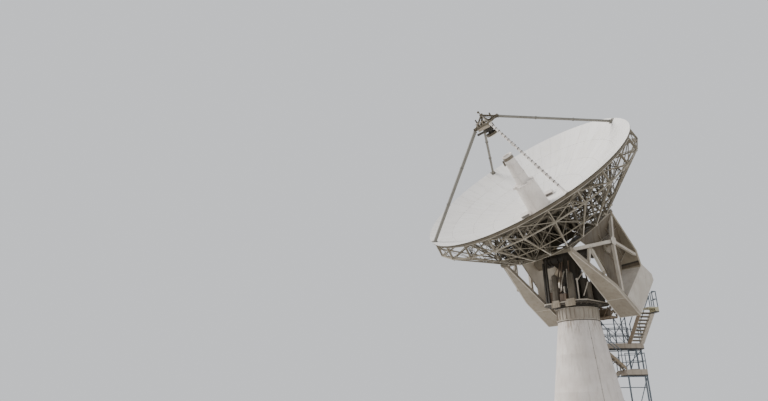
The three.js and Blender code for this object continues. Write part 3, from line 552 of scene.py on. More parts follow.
def flight_steel(name, sides=(), base=LIGHT_TREAD):
    """Light treads and stringers under blue-grey rails; flanges beside them may take a lighter paint as painted
    light or a darker one as painted shade.
    """
    foot, towards, height, rise, run, _ = FLIGHTS[name]
    zones = [(*beside_zone(foot, towards, distance), paint, TREAD_DIRT) for distance, paint in sides]
    zones.append((*flight_zone(foot, towards, height, rise, run, 0.22), BLUE, BLUE_DIRT))
    return painted_steel(f"{name}_flight_paint", base, TREAD_DIRT, 0.5, 0.5, zones=zones)


# The half-space behind the inner face of the wings' rear plates, where the wing paint turns darker as painted
# shade.
REAR_NORMAL = (0, 0.9015, -0.4327)
REAR_INSIDE = FRAME_REAR[0] * REAR_NORMAL[1] + FRAME_REAR[1] * REAR_NORMAL[2] - 0.25

MATERIALS = {
    "reflector": reflector_paint(),
    # Painted shade: the reflector's back and panel edges, the hub's floor sheets and the subreflector's back are
    # dark to stand for the shade under the dish.
    "underside": painted_steel(
        "reflector_underside", (0.085, 0.07, 0.045), (0.04, 0.033, 0.02), 0.6, 0.4, streak=(2, 2, 2)),
    "white": painted_steel("tower_white", WHITE, WHITE_DIRT, 0.3, 0.3),
    "leg": painted_steel("leg_paint", (0.20, 0.19, 0.165), (0.11, 0.10, 0.082), 0.45, 0.4, streak=(9, 9, 9)),
    # The lattice and bracing are dark near the hub as painted shade, and lighter towards the rim as painted
    # light.
    "lattice": painted_steel(
        "lattice_paint", (0.105, 0.086, 0.054), (0.042, 0.033, 0.02), 0.6, 0.5, streak=(3, 3, 1),
        lit_towards_rim=LIT_RIM_STEEL),
    "bracing": painted_steel(
        "bracing_paint", (0.115, 0.095, 0.062), (0.05, 0.039, 0.025), 0.55, 0.4, streak=(3, 3, 1),
        lit_towards_rim=LIT_RIM_STEEL),
    "rim": painted_steel("rim_angle_paint", (0.15, 0.125, 0.088), (0.07, 0.056, 0.038), 0.55, 0.4,
        streak=(3, 3, 1)),
    # Painted highlight: a light paint for flanges that catch the light.
    "highlight": painted_steel("flange_painted_highlight", (0.56, 0.515, 0.44), (0.30, 0.26, 0.2), 0.5, 0.4,
        streak=(3, 3, 1)),
    "pedestal": painted_steel(
        "pedestal_paint", (0.66, 0.61, 0.57), (0.42, 0.365, 0.315), 0.4, 0.2, streak=(4, 4, 0.16), wavy=0.02,
        runs_from=(BAND_BOTTOM, 1.9)),
    "band": painted_steel("band_paint", (0.40, 0.36, 0.30), (0.17, 0.125, 0.085), 0.75, 0.9,
        streak=(9, 9, 0.5)),
    # The wing paint is a little darker behind the rear plates' inner face, as painted shade.
    "wing": painted_steel(
        "wing_paint", (0.32, 0.28, 0.22), (0.19, 0.155, 0.115), 0.5, 0.35, streak=(2.5, 2.5, 0.5),
        zones=[(*dish_zone(REAR_NORMAL, REAR_INSIDE), (0.31, 0.265, 0.195), (0.17, 0.137, 0.095))]),
    "web": painted_steel("web_paint", SHADED_BROWN, SHADED_BROWN_DIRT, 0.6, 0.5, streak=(2.5, 2.5, 0.5)),
    "flange": painted_steel("flange_paint", (0.56, 0.515, 0.44), (0.33, 0.28, 0.22), 0.45, 0.45),
    # Painted shade: the deck's lower edge and underside are near black, for the shadow in the gap above the
    # bearing.
    "deck": painted_steel(
        "deck_paint", (0.52, 0.475, 0.40), (0.28, 0.235, 0.18), 0.5, 0.5,
        zones=[((0, 0, -1), -(RING_Z + 0.31), (0.06, 0.05, 0.036), (0.03, 0.025, 0.018))]),
    "lining": painted_steel("lining_paint", (0.70, 0.62, 0.50), (0.48, 0.40, 0.30), 0.45, 0.4,
        streak=(2.5, 2.5, 0.5)),
    "beige": painted_steel("beige_paint", (0.40, 0.345, 0.265), (0.19, 0.15, 0.105), 0.55, 0.6),
    "counterweight": painted_steel(
        "counterweight_paint", (0.54, 0.495, 0.43), (0.34, 0.29, 0.235), 0.45, 0.3, streak=(3, 3, 0.4)),
    "machine": painted_steel("machine_paint", (0.14, 0.118, 0.086), (0.055, 0.043, 0.03), 0.7, 0.7, 0.5),
    "gearbox": painted_steel("gearbox_paint", (0.19, 0.135, 0.095), (0.075, 0.052, 0.036), 0.7, 0.9, 0.5),
    "dark": painted_steel("dark_machinery", (0.05, 0.042, 0.031), (0.02, 0.016, 0.012), 0.6, 0.5, 0.5),
    "stair": painted_steel("stair_paint", (0.25, 0.19, 0.13), (0.11, 0.08, 0.05), 0.6, 0.7),
    "rail": painted_steel("rail_paint", BLUE, BLUE_DIRT, 0.5, 0.4),
    "bolt": painted_steel("bolt_steel", (0.30, 0.265, 0.225), (0.11, 0.075, 0.045), 0.6, 0.9, 0.45),
    "lower_flight": flight_steel("lower"),
    # Painted shade: the middle flight's darker brown stands for the shade it stands in.
    "middle_flight": flight_steel("middle", base=(0.30, 0.24, 0.165)),
    # Painted light and shade: the flange on the left of the way up is light as if lit, the one on its right
    # brown as if in shade.
    "upper_flight": flight_steel("upper", [(0.765, (0.54, 0.48, 0.40)), (-0.005, (0.22, 0.165, 0.11))]),
    "low_landing": landing_steel("low_landing_paint", LOW_LANDING_Z),
    "mid_landing": landing_steel("mid_landing_paint", MID_LANDING_Z),
    "top_landing": landing_steel("top_landing_paint", TOP_LANDING_Z, 0.35, (0.42, 0.39, 0.26),
        (0.20, 0.17, 0.10)),
}


def dress_cad_nodes():
    """Finishes for the CAD nodes whose shape is right, with a small bevel on the plated ones."""
    finishes = (
        ("back_truss", "lattice"), ("hub", "lattice"), ("elevation_frame", "lattice"), ("apex_frame", "bracing"),
        ("wing", "wing"), ("turret_deck", "deck"), ("counterweight", "counterweight"), ("feed_leg", "leg"),
        ("reflector", "reflector"), ("feed_", "white"), ("subreflector_mount", "machine"),
        ("subreflector", "white"),
        ("pedestal", "pedestal"), ("turret_platform", "stair"), ("stair_frame", "rail"),
    )
    for name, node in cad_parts.items():
        finish = next((finish for start, finish in finishes if name.startswith(start)), "machine")
        finish = name if name in MATERIALS else finish
        node.data.materials.clear()
        node.data.materials.append(MATERIALS[finish])
        if name.startswith(("wing", "counterweight", "turret_deck", "turret_yoke", "elevation_frame")):
            weld = node.modifiers.new("weld", "WELD")
            weld.merge_threshold = 0.0002
            bevel = node.modifiers.new("bevel", "BEVEL")
            bevel.width = 0.012
            bevel.segments = 2
            bevel.limit_method = "ANGLE"
            bevel.angle_limit = math.radians(40)


# Reflector


def add_panel(panels, inner, outer, start, end, edge=0.005):
    """One sheet panel of the dish, a curved slab between two radii and two bearings."""
    across, along = 6, max(3, round((outer - inner) * 4))
    thickness = 0.05
    points = []
    for lift in (0, -thickness):
        for i in range(along + 1):
            r = inner + (outer - inner) * i / along
            trim = math.degrees(edge / 2 / r)
            for k in range(across + 1):
                degrees = start + trim + (end - start - 2 * trim) * k / across
                points.append(polar(r, degrees, bowl(r) + lift))
    row = across + 1
    back = row * (along + 1)
    faces = []
    paints = []
    for i in range(along):
        for k in range(across):
            a = i * row + k
            faces.append((a, a + row, a + row + 1, a + 1))
            faces.append((back + a, back + a + 1, back + a + row + 1, back + a + row))
            paints += [0, 1]
    rim = [*range(across)] + [i * row + across for i in range(along)]
    rim += [along * row + k for k in range(across, 0, -1)] + [i * row for i in range(along, 0, -1)]
    for a, b in zip(rim, rim[1:] + rim[:1]):
        faces.append((a, b, back + b, back + a))
    paints += [1] * len(rim)
    panels.add(points, faces, paints)


def build_reflector():
    radii = [HUB_HOLE + 0.01, 2.0, 3.4, 4.75, 6.1, DISH_RADIUS]
    counts = [24, 24, 48, 48, 48]
    seam = 0.0035
    for sector in range(SECTORS):
        panels = Solids(DISH)
        for inner, outer, count in zip(radii, radii[1:], counts):
            pitch = 360 / count
            for k in range(count // SECTORS):
                start = sector * 60 - 30 + k * pitch
                panels.tone = random.uniform(0.15, 0.85)
                last = outer == DISH_RADIUS
                add_panel(panels, inner + seam, outer - (0 if last else seam), start, start + pitch)
        panels.finish(
            f"reflector_panels_{sector + 1}", "dish", "reflector", "reflector underside",
            [f"reflector_sector_{sector + 1}"])

    rim = Solids(DISH)
    edge = bowl(DISH_RADIUS) - SKIN
    rim.lathe([(7.36, edge - 0.16), (7.40, edge - 0.17), (7.475, edge - 0.04), (7.455, edge - 0.012),
        (7.36, edge - 0.05)], 144)
    rim.finish("reflector_rim_angle", "dish", "lattice", "rim")


def low_chord(r):
    """Height of the ribs' lower chord at a radius."""
    knee_r, knee_z = KNEE_NODE
    outer_r, outer_z = OUTER_NODE
    return knee_z if r < knee_r else knee_z + (outer_z - knee_z) * (r - knee_r) / (outer_r - knee_r)


def build_bracing():
    """Angle-iron hoops and diagonals between the ribs, and the small members inside each rib."""
    pitch = 360 / RIBS
    under_skin = 0.085
    top_nodes = [7.3, 5.7, 4.5, 3.5, 2.75, 2.0]
    low_nodes = [OUTER_NODE[0], 5.7, KNEE_NODE[0], 3.45, 2.6, 1.36]
    hoop, brace, light = angle_section(0.06), angle_section(0.045), angle_section(0.035)

    def top(r, degrees, drop=0.0):
        return polar(r, degrees, bowl(r) - SKIN - under_skin - drop)

    def low(r, degrees, lift=0.0):
        return polar(r, degrees, low_chord(r) + lift)

    for sector in range(SECTORS):
        steel = Solids(DISH)
        # The bright pieces, chord flanges, a thin line under the rim and gusset plates, take a light paint as
        # painted highlight.
        bright = Solids(DISH)
        for k in range(RIBS // SECTORS):
            here = sector * 60 - 30 + pitch / 2 + k * pitch
            there = here + pitch
            for r in top_nodes[1:]:
                steel.beam(top(r, here), top(r, there), hoop)
            for r in low_nodes[1:2] + low_nodes[3:5]:
                steel.beam(low(r, here), low(r, there), hoop)
            for i in range(len(top_nodes) - 1):
                a, b = (here, there) if (i + k) % 2 else (there, here)
                steel.beam(top(top_nodes[i], a, 0.03), top(top_nodes[i + 1], b, 0.03), light)
                steel.beam(low(low_nodes[i], b, 0.02), low(low_nodes[i + 1], a, 0.02), brace)
            for a, b in ((here, there), (there, here)):
                steel.beam(top(7.3, a, 0.08), low(OUTER_NODE[0], b), brace)
                for r in (5.7, 4.3, 3.5, 2.6):
                    steel.beam(top(r, a, 0.05), low(r, b), light)
            for r in (5.7, 4.9, 3.9, 3.05, 2.3):
                steel.beam(top(r, here), low(r - 0.15, here), light)
            bright.beam(top(7.37, here, 0.06), top(7.37, there, 0.06), rectangle(0.03, 0.03))
            for r in (OUTER_NODE[0], KNEE_NODE[0]):
                bright.beam(low(r, here, -0.035), low(r, there, -0.035), rectangle(0.075, 0.012))
            bright.beam(low(KNEE_NODE[0] + 0.05, here, -0.048), low(OUTER_NODE[0], here, -0.048),
                rectangle(0.07, 0.012))
            for r, z in ((5.7, bowl(5.7) - 0.25), (3.5, bowl(3.5) - 0.25), (4.3, 2.6),
                    (7.3, low_chord(7.3) + 0.1)):
                along, side = bearing(here)
                centre = along * r + UP * z
                for way in (-1, 1):
                    corners = [
                        centre + side * way * 0.031 + along * u + UP * v
                        for u, v in ((-0.2, -0.09), (0.16, -0.09), (0.1, 0.12), (-0.13, 0.12))]
                    bright.plate(corners, side * way * 0.01)
        steel.finish(f"back_bracing_{sector + 1}", "dish", "lattice", "bracing")
        bright.finish(f"back_flanges_{sector + 1}", "dish", "lattice", "highlight")


def build_hub_details():
    steel = Solids(DISH)
    inner, outer, low, high = HUB_RADIUS - 0.12, HUB_RADIUS + 0.09, HUB_BOTTOM - 0.03, HUB_BOTTOM + 0.01
    steel.lathe([(inner, low), (outer, low), (outer, high), (inner, high)], 72)
    for i in range(RIBS):
        start = polar(HUB_RADIUS + 0.04, i * 360 / RIBS, high)
        steel.bar(start, start + UP * 1.45, 0.02, 0.09, polar(1, i * 360 / RIBS + 90, 0))
    steel.bolt_ring(HUB_RADIUS + 0.05, HUB_BOTTOM - 0.05, 48, 0.018, 0.02)
    for side in (-1, 1):
        for x in (0.5, 1.1):
            steel.tube(
                Vector((side * x, FRAME_FRONT[0] + 0.12, FRAME_FRONT[1])),
                Vector((side * x * 0.75, -HUB_RADIUS * 0.85, HUB_BOTTOM + 0.1)), 0.05, sides=12)
        steel.tube(
            Vector((side * 1.4, FRAME_FRONT[0], FRAME_FRONT[1] + 0.1)),
            Vector((side * 1.9, -3.6, low_chord(4.0) + 0.25)), 0.045, sides=12)
    steel.finish("hub_stiffeners", "dish", "lattice", "bracing")

    # Sheet floor between the hub and the knee hoop, over the front half of the frame
    floor = Solids(DISH)
    pitch = 360 / RIBS
    inner, outer, height = HUB_RADIUS + 0.12, KNEE_NODE[0] - 0.2, KNEE_NODE[1] + 0.2
    for k in range(RIBS):
        start = pitch / 2 + k * pitch
        if 190 < start < 335:
            here, there = start + 0.6, start + pitch - 0.6
            sheet = ((inner, here), (outer, here), (outer, there), (inner, there))
            floor.plate([polar(r, degrees, height) for r, degrees in sheet], UP * 0.01)
    floor.finish("hub_floor_sheets", "dish", "lattice", "underside")


def build_tower():
    wall, neck, step = TOWER_RADIUS, TOWER_STEP_RADIUS, TOWER_STEP
    throat, mouth = HORN_RADIUS, HORN_TOP_RADIUS
    tower = Solids(DISH)
    base = bowl(wall) + 0.004
    lug = 0.06
    tower.lathe([
        (0, base), (wall + 0.02, base), (wall + 0.02, base + 0.03), (wall - 0.02, base + 0.04),
        (wall - 0.05, base + 0.9), (wall - 0.042, base + 0.91), (wall - 0.042, base + 0.95),
        (wall - 0.052, base + 0.96), (neck, step - lug), (neck + 0.05, step - lug),
        (neck + 0.05, step), (throat + lug, step), (0, step)], 72)
    for i in range(12):
        along, side = bearing(i * 30)
        side *= 0.008
        foot = along * neck + UP * (step - lug)
        tower.plate([foot - side, foot + along * 0.05 - side, foot - UP * 0.16 + along * 0.012 - side],
            side * 2)
    tower.bolt_ring(neck, step, 24, 0.016, 0.02)
    tower.bolt_ring(wall, base + 0.03, 36, 0.014, 0.018)
    tower.finish("feed_tower_shell", "dish", "reflector", "white", ["feed_tower"])

    horn = Solids(DISH)
    top = TOWER_TOP
    radius_at = lambda z: throat + (mouth - throat) * (z - step) / (top - step)
    outside = []
    for z in (0.75, 1.5):
        r = radius_at(step + z)
        outside += [(r + out, step + z - drop) for out, drop in ((0, 0.03), (0.03, 0.03), (0.03, 0), (0, 0))]
    inside = []
    for k in range(9):
        z = top - 0.01 - 0.035 * k
        r = mouth - 0.05 - 0.012 * k
        inside += [(r, z), (r - 0.018, z - 0.012), (r - 0.018, z - 0.024)]
    horn.lathe([
        (0, step + 0.001), (throat + lug, step + 0.001), (throat + lug, step + 0.05),
        (throat, step + 0.06), *outside, (mouth, top - 0.11), (mouth + 0.03, top - 0.11),
        (mouth + 0.03, top), *inside, (0, top - 0.35)], 64)
    horn.bolt_ring(throat + 0.035, step + 0.05, 20, 0.014, 0.018)
    horn.finish("feed_horn_shell", "dish", "reflector", "white", ["feed_horn"])

    fittings = Solids(DISH)
    for degrees, z, length in ((196, 4.02, 0.22), (232, 3.9, 0.2)):
        r = radius_at(VERTEX + z)
        root = polar(r - 0.01, degrees, VERTEX + z)
        tip = polar(r + 0.1, degrees, VERTEX + z)
        fittings.tube(root, tip, 0.02, sides=10)
        fittings.tube(tip - UP * length / 2, tip + UP * length / 2, 0.06, sides=12)
    fittings.lathe([
        (mouth - 0.01, top - 0.34), (radius_at(top - 0.34) + 0.012, top - 0.34),
        (radius_at(top - 0.13) + 0.012, top - 0.13), (mouth - 0.01, top - 0.13)], 40)
    fittings.finish("feed_tower_fittings", "dish", "machine", "machine")

    pipes = Solids(DISH)
    for degrees in (150, 285):
        pipes.pipe([
            polar(wall + 0.03, degrees, base + 0.02), polar(neck + 0.08, degrees, step - 0.12),
            polar(neck + 0.02, degrees, step + 0.05), polar(throat + 0.04, degrees, step + 0.3),
            polar(radius_at(top - 0.6) + 0.035, degrees, top - 0.6)], 0.022)
    for degrees in (240, 330):
        along = polar(1, degrees, 0)
        pipes.box(along * 0.78 + Vector((-0.1, -0.1, step - 0.05)),
            along * 0.78 + Vector((0.1, 0.1, step + 0.12)))
    pipes.finish("feed_tower_pipes", "dish", "reflector", "white")


def build_vents():
    """Two louvred ventilation hoods that stand on the dish beside the tower."""
    hoods = Solids(DISH)
    mouths = Solids(DISH)
    for x, y, turn in ((0.24, 1.47, 12), (-0.63, -1.0, 25)):
        floor = bowl(math.hypot(x, y))
        centre = Vector((x, y, floor))
        along, side = bearing(turn)

        def corner(u, v, w):
            return centre + along * u + side * v + UP * w

        roof = ((-0.3, -0.1, 0.19), (0.3, -0.1, 0.19), (0.3, 0.2, 0.3), (-0.3, 0.2, 0.3))
        hoods.plate([corner(*at) for at in roof], UP * 0.015)
        for u in (-0.3, 0.288):
            cheek = ((-0.08, 0), (0.19, 0), (0.19, 0.29), (-0.08, 0.19))
            hoods.plate([corner(u, v, w) for v, w in cheek], along * 0.012)
        for k in range(4):
            z = 0.03 + 0.042 * k
            hoods.bar(corner(-0.28, -0.075, z), corner(0.28, -0.075, z), 0.03, 0.006)
        plan = ((-0.27, -0.05), (0.27, -0.05), (0.27, 0.17), (-0.27, 0.17))
        mouths.loft([[corner(u, v, z) for u, v in plan] for z in (0, 0.17)])
    hoods.finish("vent_hoods", "dish", "reflector", "white")
    mouths.finish("vent_boxes", "dish", "machine", "dark")


def leg_line(i):
    """A feed leg's foot, top and direction, with the ways out and sideways on its bearing."""
    degrees = LEG_TURN_DEG + 90 * i
    foot = polar(LEG_FOOT_RADIUS, degrees, bowl(LEG_FOOT_RADIUS))
    top = polar(PLATFORM_RADIUS, degrees, PLATFORM_HEIGHT)
    return foot, top, (top - foot).normalized(), *bearing(degrees)


def build_legs():
    fittings = Solids(DISH)
    for i, radius in enumerate(LEG_TUBES):
        foot, top, along, radial, side = leg_line(i)
        leg = Solids(DISH)
        start, end = foot + along * 0.02, top - along * 0.13
        leg.tube(start, end, radius, sides=24)
        leg.tube(start, start + along * 0.16, 0.13, 0.1, sides=24)
        length = (end - start).length
        for share in (0.34, 0.67):
            at = start + along * length * share
            for near, far in ((-0.025, -0.003), (0.003, 0.025)):
                leg.tube(at + along * near, at + along * far, radius + 0.03, sides=24)
        leg.tube(end - along * 0.04, end, radius + 0.03, sides=24)
        finish = "white" if i == 3 else "leg"
        leg.finish(f"feed_leg_tube_{i + 1}", "dish", "leg_paint", finish, [f"feed_leg_{i + 1}"])

        base = [foot + radial * u + side * v + UP * (u * LEG_FOOT_RADIUS / (2 * FOCAL_LENGTH)) for u, v in (
            (-0.17, -0.17), (0.17, -0.17), (0.17, 0.17), (-0.17, 0.17))]
        fittings.plate(base, UP * 0.03)
        for way in (-1, 1):
            low = foot + side * way * 0.1 + UP * 0.03
            fittings.plate([
                low - radial * 0.1, low + radial * 0.1, foot + side * way * 0.06 + along * 0.26],
                side * way * 0.015)
    fittings.finish("feed_leg_feet", "dish", "leg_paint", "leg")

    rungs = Solids(DISH)
    foot, top, along, _, side = leg_line(3)
    outward = side.cross(along).normalized()
    count = 20
    for k in range(count):
        at = foot + along * ((top - foot).length * (0.1 + 0.84 * k / (count - 1)))
        ends = [at + side * way * 0.06 for way in (-1, 1)]
        rungs.pipe([ends[0], ends[0] + outward * 0.12, ends[1] + outward * 0.12, ends[1]], 0.022, 8)
    rungs.finish("feed_leg_rungs", "dish", "leg_paint", "dark")


def build_apex():
    mirror = Solids(DISH)
    z = SUBREFLECTOR_HEIGHT
    face = [(SUBREFLECTOR_RADIUS * k / 12, z - 0.11 * (1 - (k / 12) ** 2)) for k in range(13)]
    mirror.lathe([*face, (SUBREFLECTOR_RADIUS, z + 0.012), (0, z + 0.012)], 64)
    mirror.paint = 1
    rim = SUBREFLECTOR_RADIUS + 0.008
    mirror.lathe([
        (0, z + 0.013), (rim, z + 0.013), (rim, z + 0.06), (rim - 0.008, z + 0.066), (rim - 0.008, z + 0.15),
        (rim, z + 0.155), (rim, z + 0.172), (rim - 0.038, z + 0.172), (rim - 0.038, z + 0.045),
        (0, z + 0.045)], 64)
    for i in range(8):
        along = polar(1, i * 45, 0)
        mirror.bar(along * 0.21 + UP * (z + 0.08), along * 0.395 + UP * (z + 0.08), 0.014, 0.07)
    mirror.finish("subreflector_mirror", "dish", "reflector", "white underside", ["subreflector"])

    mount = Solids(DISH)
    low, high = z + 0.0455, PLATFORM_HEIGHT - 0.182
    mount.lathe([
        (0, low), (0.2, low), (0.2, low + 0.05), (0.13, low + 0.07), (0.13, high - 0.07), (0.2, high - 0.05),
        (0.2, high), (0, high)], 32)
    for i in range(6):
        lean = 24 if i % 2 else -24
        start = polar(0.185, i * 60, low + 0.04)
        end = polar(0.185, i * 60 + lean, high - 0.05)
        mount.tube(start, start.lerp(end, 0.55), 0.032, sides=12)
        mount.tube(start.lerp(end, 0.5), end, 0.018, sides=10)
    mount.box((-0.3, -0.24, high - 0.42), (0.3, 0.24, high - 0.03))
    for x in (-0.36, 0.3):
        mount.box((x, -0.12, high - 0.36), (x + 0.06, 0.12, high - 0.1))
    mount.finish("subreflector_actuators", "dish", "machine", "dark", ["subreflector_mount"])

    extras = Solids(DISH)
    corners = [leg_line(i)[1] for i in range(4)]
    for i, corner in enumerate(corners):
        following = corners[(i + 1) % 4]
        middle = corner.lerp(following, 0.5)
        extras.beam(middle, Vector((0, 0, PLATFORM_HEIGHT - 0.15)), angle_section(0.05))
        extras.beam(corner.lerp(following, 0.28), Vector((0, 0, APEX_HEIGHT - 0.1)), angle_section(0.04))
        out = middle.normalized()
        if i in (1, 3):
            extras.bar(middle, middle + out * 0.35 - UP * 0.05, 0.05)
            extras.bar(middle + out * 0.35 - UP * 0.2, middle + out * 0.35 + UP * 0.16, 0.07, 0.07)
    extras.finish("apex_braces", "dish", "lattice", "bracing")
    low, high = corners[2], corners[3]
    side = (high - low).normalized()
    rails = Solids(DISH)
    rails.bar(low + side * 0.12 - UP * 0.16, high - side * 0.12 - UP * 0.16, 0.05, 0.2)
    for share in (0.2, 0.4, 0.6, 0.8):
        post = low.lerp(high, share)
        rails.bar(post - UP * 0.16, post + UP * 0.3, 0.035)
    rails.bar(low.lerp(high, 0.1) + UP * 0.3, low.lerp(high, 0.9) + UP * 0.3, 0.035)
    rails.paint = 1
    rails.bar(low - side * 0.12 - UP * 0.4, low.lerp(high, 0.55) - UP * 0.4, 0.1, 0.14)
    rails.finish("apex_walkway", "dish", "lattice", "beige dark")
    out = (high - Vector((0, 0, PLATFORM_HEIGHT))).normalized()
    brackets = Solids(DISH)
    for way in (-1, 1):
        foot = high + side * 0.06 * way - UP * 0.05
        brackets.bar(foot, foot + out * 0.42 + UP * 0.1 * way, 0.045)
    brackets.finish("apex_brackets", "dish", "lattice", "flange")


# Wings and counterweights


def front_line(d):
    """Where the wings' front plates stand across the dish axis, at a height along it."""
    share = (FRAME_FRONT[1] - d) / (FRAME_FRONT[1] - WING_FOOT[1])
    return FRAME_FRONT[0] + (WING_FOOT[0] - FRAME_FRONT[0]) * share


def build_wing_details(side):
    """What a wing and its counterweight carry; side is -1 on the left and 1 on the right."""
    label = "left" if side < 0 else "right"
    trim = Solids(DISH)
    down = Vector((0, WING_FOOT[0] - FRAME_FRONT[0], WING_FOOT[1] - FRAME_FRONT[1]))
    length = down.length
    down.normalize()
    outward = Vector((0, down.z, -down.y))
    top = Vector((0, FRAME_FRONT[0], FRAME_FRONT[1]))

    def strip(corners, thickness):
        trim.plate([top + Vector((side * x, 0, 0)) + down * s for x, s in corners], outward * thickness)

    shoulder = (FRAME_FRONT[1] + 1.5) * length / (FRAME_FRONT[1] - WING_FOOT[1])
    inner_top, outer_top, start = 2.43, 2.72, 0.35
    for inward, line in (
        (0.07, [(inner_top, start), (WING_INNER, length)]),
        (-0.07, [(outer_top, start), (WING_OUTER, shoulder), (WING_OUTER, length)]),
    ):
        for (x0, s0), (x1, s1) in zip(line, line[1:]):
            strip([(x0, s0), (x1, s1), (x1 + inward, s1), (x0 + inward, s0)], 0.012)
    for s in (5.0, length - 0.035):
        x0 = inner_top + (WING_INNER - inner_top) * s / length
        x1 = min(WING_OUTER, outer_top + (WING_OUTER - outer_top) * s / shoulder)
        strip([(x0, s - 0.02), (x1, s - 0.02), (x1, s + 0.02), (x0, s + 0.02)], 0.008)

    front = Vector((side * 2.6, FRAME_FRONT[0] + 0.06, FRAME_FRONT[1] - 0.12))
    rear = Vector((side * 2.6, FRAME_REAR[0] - 0.06, FRAME_REAR[1] - 0.06))
    knuckle = Vector((side * 3.4, 0, 0.35))
    foot = Vector((side * 3.45, front_line(-2.25) + 0.1, -2.25))
    back = Vector((side * 3.45, REAR_CORNER[0] - 0.06, REAR_CORNER[1]))
    knot = front.lerp(knuckle, 0.45)
    struts = (
        (front, knuckle, 0.2, 0.15), (rear, knuckle, 0.2, 0.15), (knuckle, foot, 0.18, 0.14),
        (knuckle, back, 0.15, 0.12),
        (knot, Vector((side * 3.02, front_line(0.84) + 0.1, 0.84)), 0.12, 0.12),
        (knot, Vector((side * 3.42, front_line(-0.32) + 0.1, -0.32)), 0.12, 0.12),
    )
    for start, end, width, depth in struts:
        along = (end - start).normalized()
        flat = ACROSS.cross(along).normalized()
        near, far = start + along * 0.25, end - along * 0.22
        trim.bar(near, far, width + 0.004, depth + 0.004, ACROSS)
        for way in (-1, 1):
            shift = flat * way * (width / 2 + 0.006)
            trim.bar(near + shift, far + shift, depth + 0.05, 0.014, flat)
    hub_plate = [knuckle + Vector((side * 0.085, u, v)) for u, v in circle(0.32, 6)]
    trim.plate(hub_plate, Vector((side * 0.016, 0, 0)))
    trim.finish(f"wing_trim_{label}", "dish", "wing", "flange")

    web = Solids(DISH)
    web_face = side * (WEB_X + 0.062)
    outline = [
        (-2.18, 2.1), (-1.56, 1.02), (-1.56, -1.08), (front_line(-2.05) + 0.14, -2.03),
        (front_line(WEIGHT_TOP) + 0.14, -2.57),
        (-0.72, -2.57), (0.53, -1.66), (1.58, -1.62), (2.15, -0.7), (2.7, 1.0), (2.66, 1.05)]
    for a, b, c in ((0, 1, 10), (1, 9, 10), (1, 8, 9), (1, 2, 8), (2, 7, 8), (2, 6, 7), (2, 3, 6),
            (3, 5, 6), (3, 4, 5)):
        for web.paint, x in ((0, web_face), (2, side * (WEB_X - 0.005))):
            web.plate([Vector((x, *outline[i])) for i in (a, b, c)], Vector((side * 0.004, 0, 0)))
    web.paint = 1
    for (n0, d0), (n1, d1) in (
        ((-1.5, 0.95), (-1.5, -1.05)), ((-1.45, 1.0), (2.5, 0.0)), ((1.7, -1.55), (2.2, -0.65)),
        ((0.5, -1.6), (1.6, -1.58)),
        ((-0.1, 1.1), (-0.1, -2.0)), ((1.1, 0.8), (1.1, -1.6)),
    ):
        x = web_face + side * 0.03
        web.bar(Vector((x, n0, d0)), Vector((x, n1, d1)), 0.014, 0.07, ACROSS)
    web.tube(Vector((web_face - side * 0.02, 0, 0)), Vector((web_face + side * 0.09, 0, 0)), 0.42, sides=40)
    for u, v in circle(0.35, 16):
        web.bolt(Vector((web_face + side * 0.09, u, v)), ACROSS * side, 0.026, 0.03)
    web.finish(f"wing_web_stiffeners_{label}", "dish", "wing", "web wing lining")

    # Painted shadow: two dark sheets under the rear plate stand for the shade in the gap over the counterweight.
    slot = Solids(DISH)
    rear_top = Vector((0, FRAME_REAR[0], FRAME_REAR[1]))
    rear_down = Vector((0, REAR_CORNER[0] - FRAME_REAR[0], REAR_CORNER[1] - FRAME_REAR[1])).normalized()
    inward = Vector((0, rear_down.z, -rear_down.y))
    for paint, rows in ((0, ((3.74, 3.66), (3.86, 3.78))), (1, ((3.86, 3.78), (4.04, 3.98)))):
        slot.paint = paint
        (near_in, near_out), (far_in, far_out) = rows
        slot.plate([
            rear_top + rear_down * s + inward * 0.202 + Vector((side * x, 0, 0))
            for x, s in ((2.12, near_in), (3.52, near_out), (3.52, far_out), (2.12, far_in))], inward * 0.004)
    slot.finish(f"wing_slot_shadow_{label}", "dish", "wing", "dark web")

    weight = Solids(DISH)
    outer = side * (WING_OUTER + 0.0005)
    inside = lambda d: front_line(d) + 0.215
    corners = [(inside(WEIGHT_TOP) + 0.1, WEIGHT_TOP - 0.1), (inside(-4.2) + 0.1, -4.14), (1.58, -4.05),
        (1.73, -3.78), (1.3, WEIGHT_TOP - 0.1)]
    face = [Vector((outer, n, d)) for n, d in corners]
    weight.plate(face, ACROSS * side * 0.012)
    centre = sum(face, Vector()) / len(face)
    for at in spaced(face, 0.32):
        at += (centre - at).normalized() * 0.07
        weight.bolt(at + ACROSS * side * 0.012, ACROSS * side, 0.018, 0.012)
    weight.finish(f"counterweight_cover_{label}", "dish", "counterweight", "counterweight")


# Turret


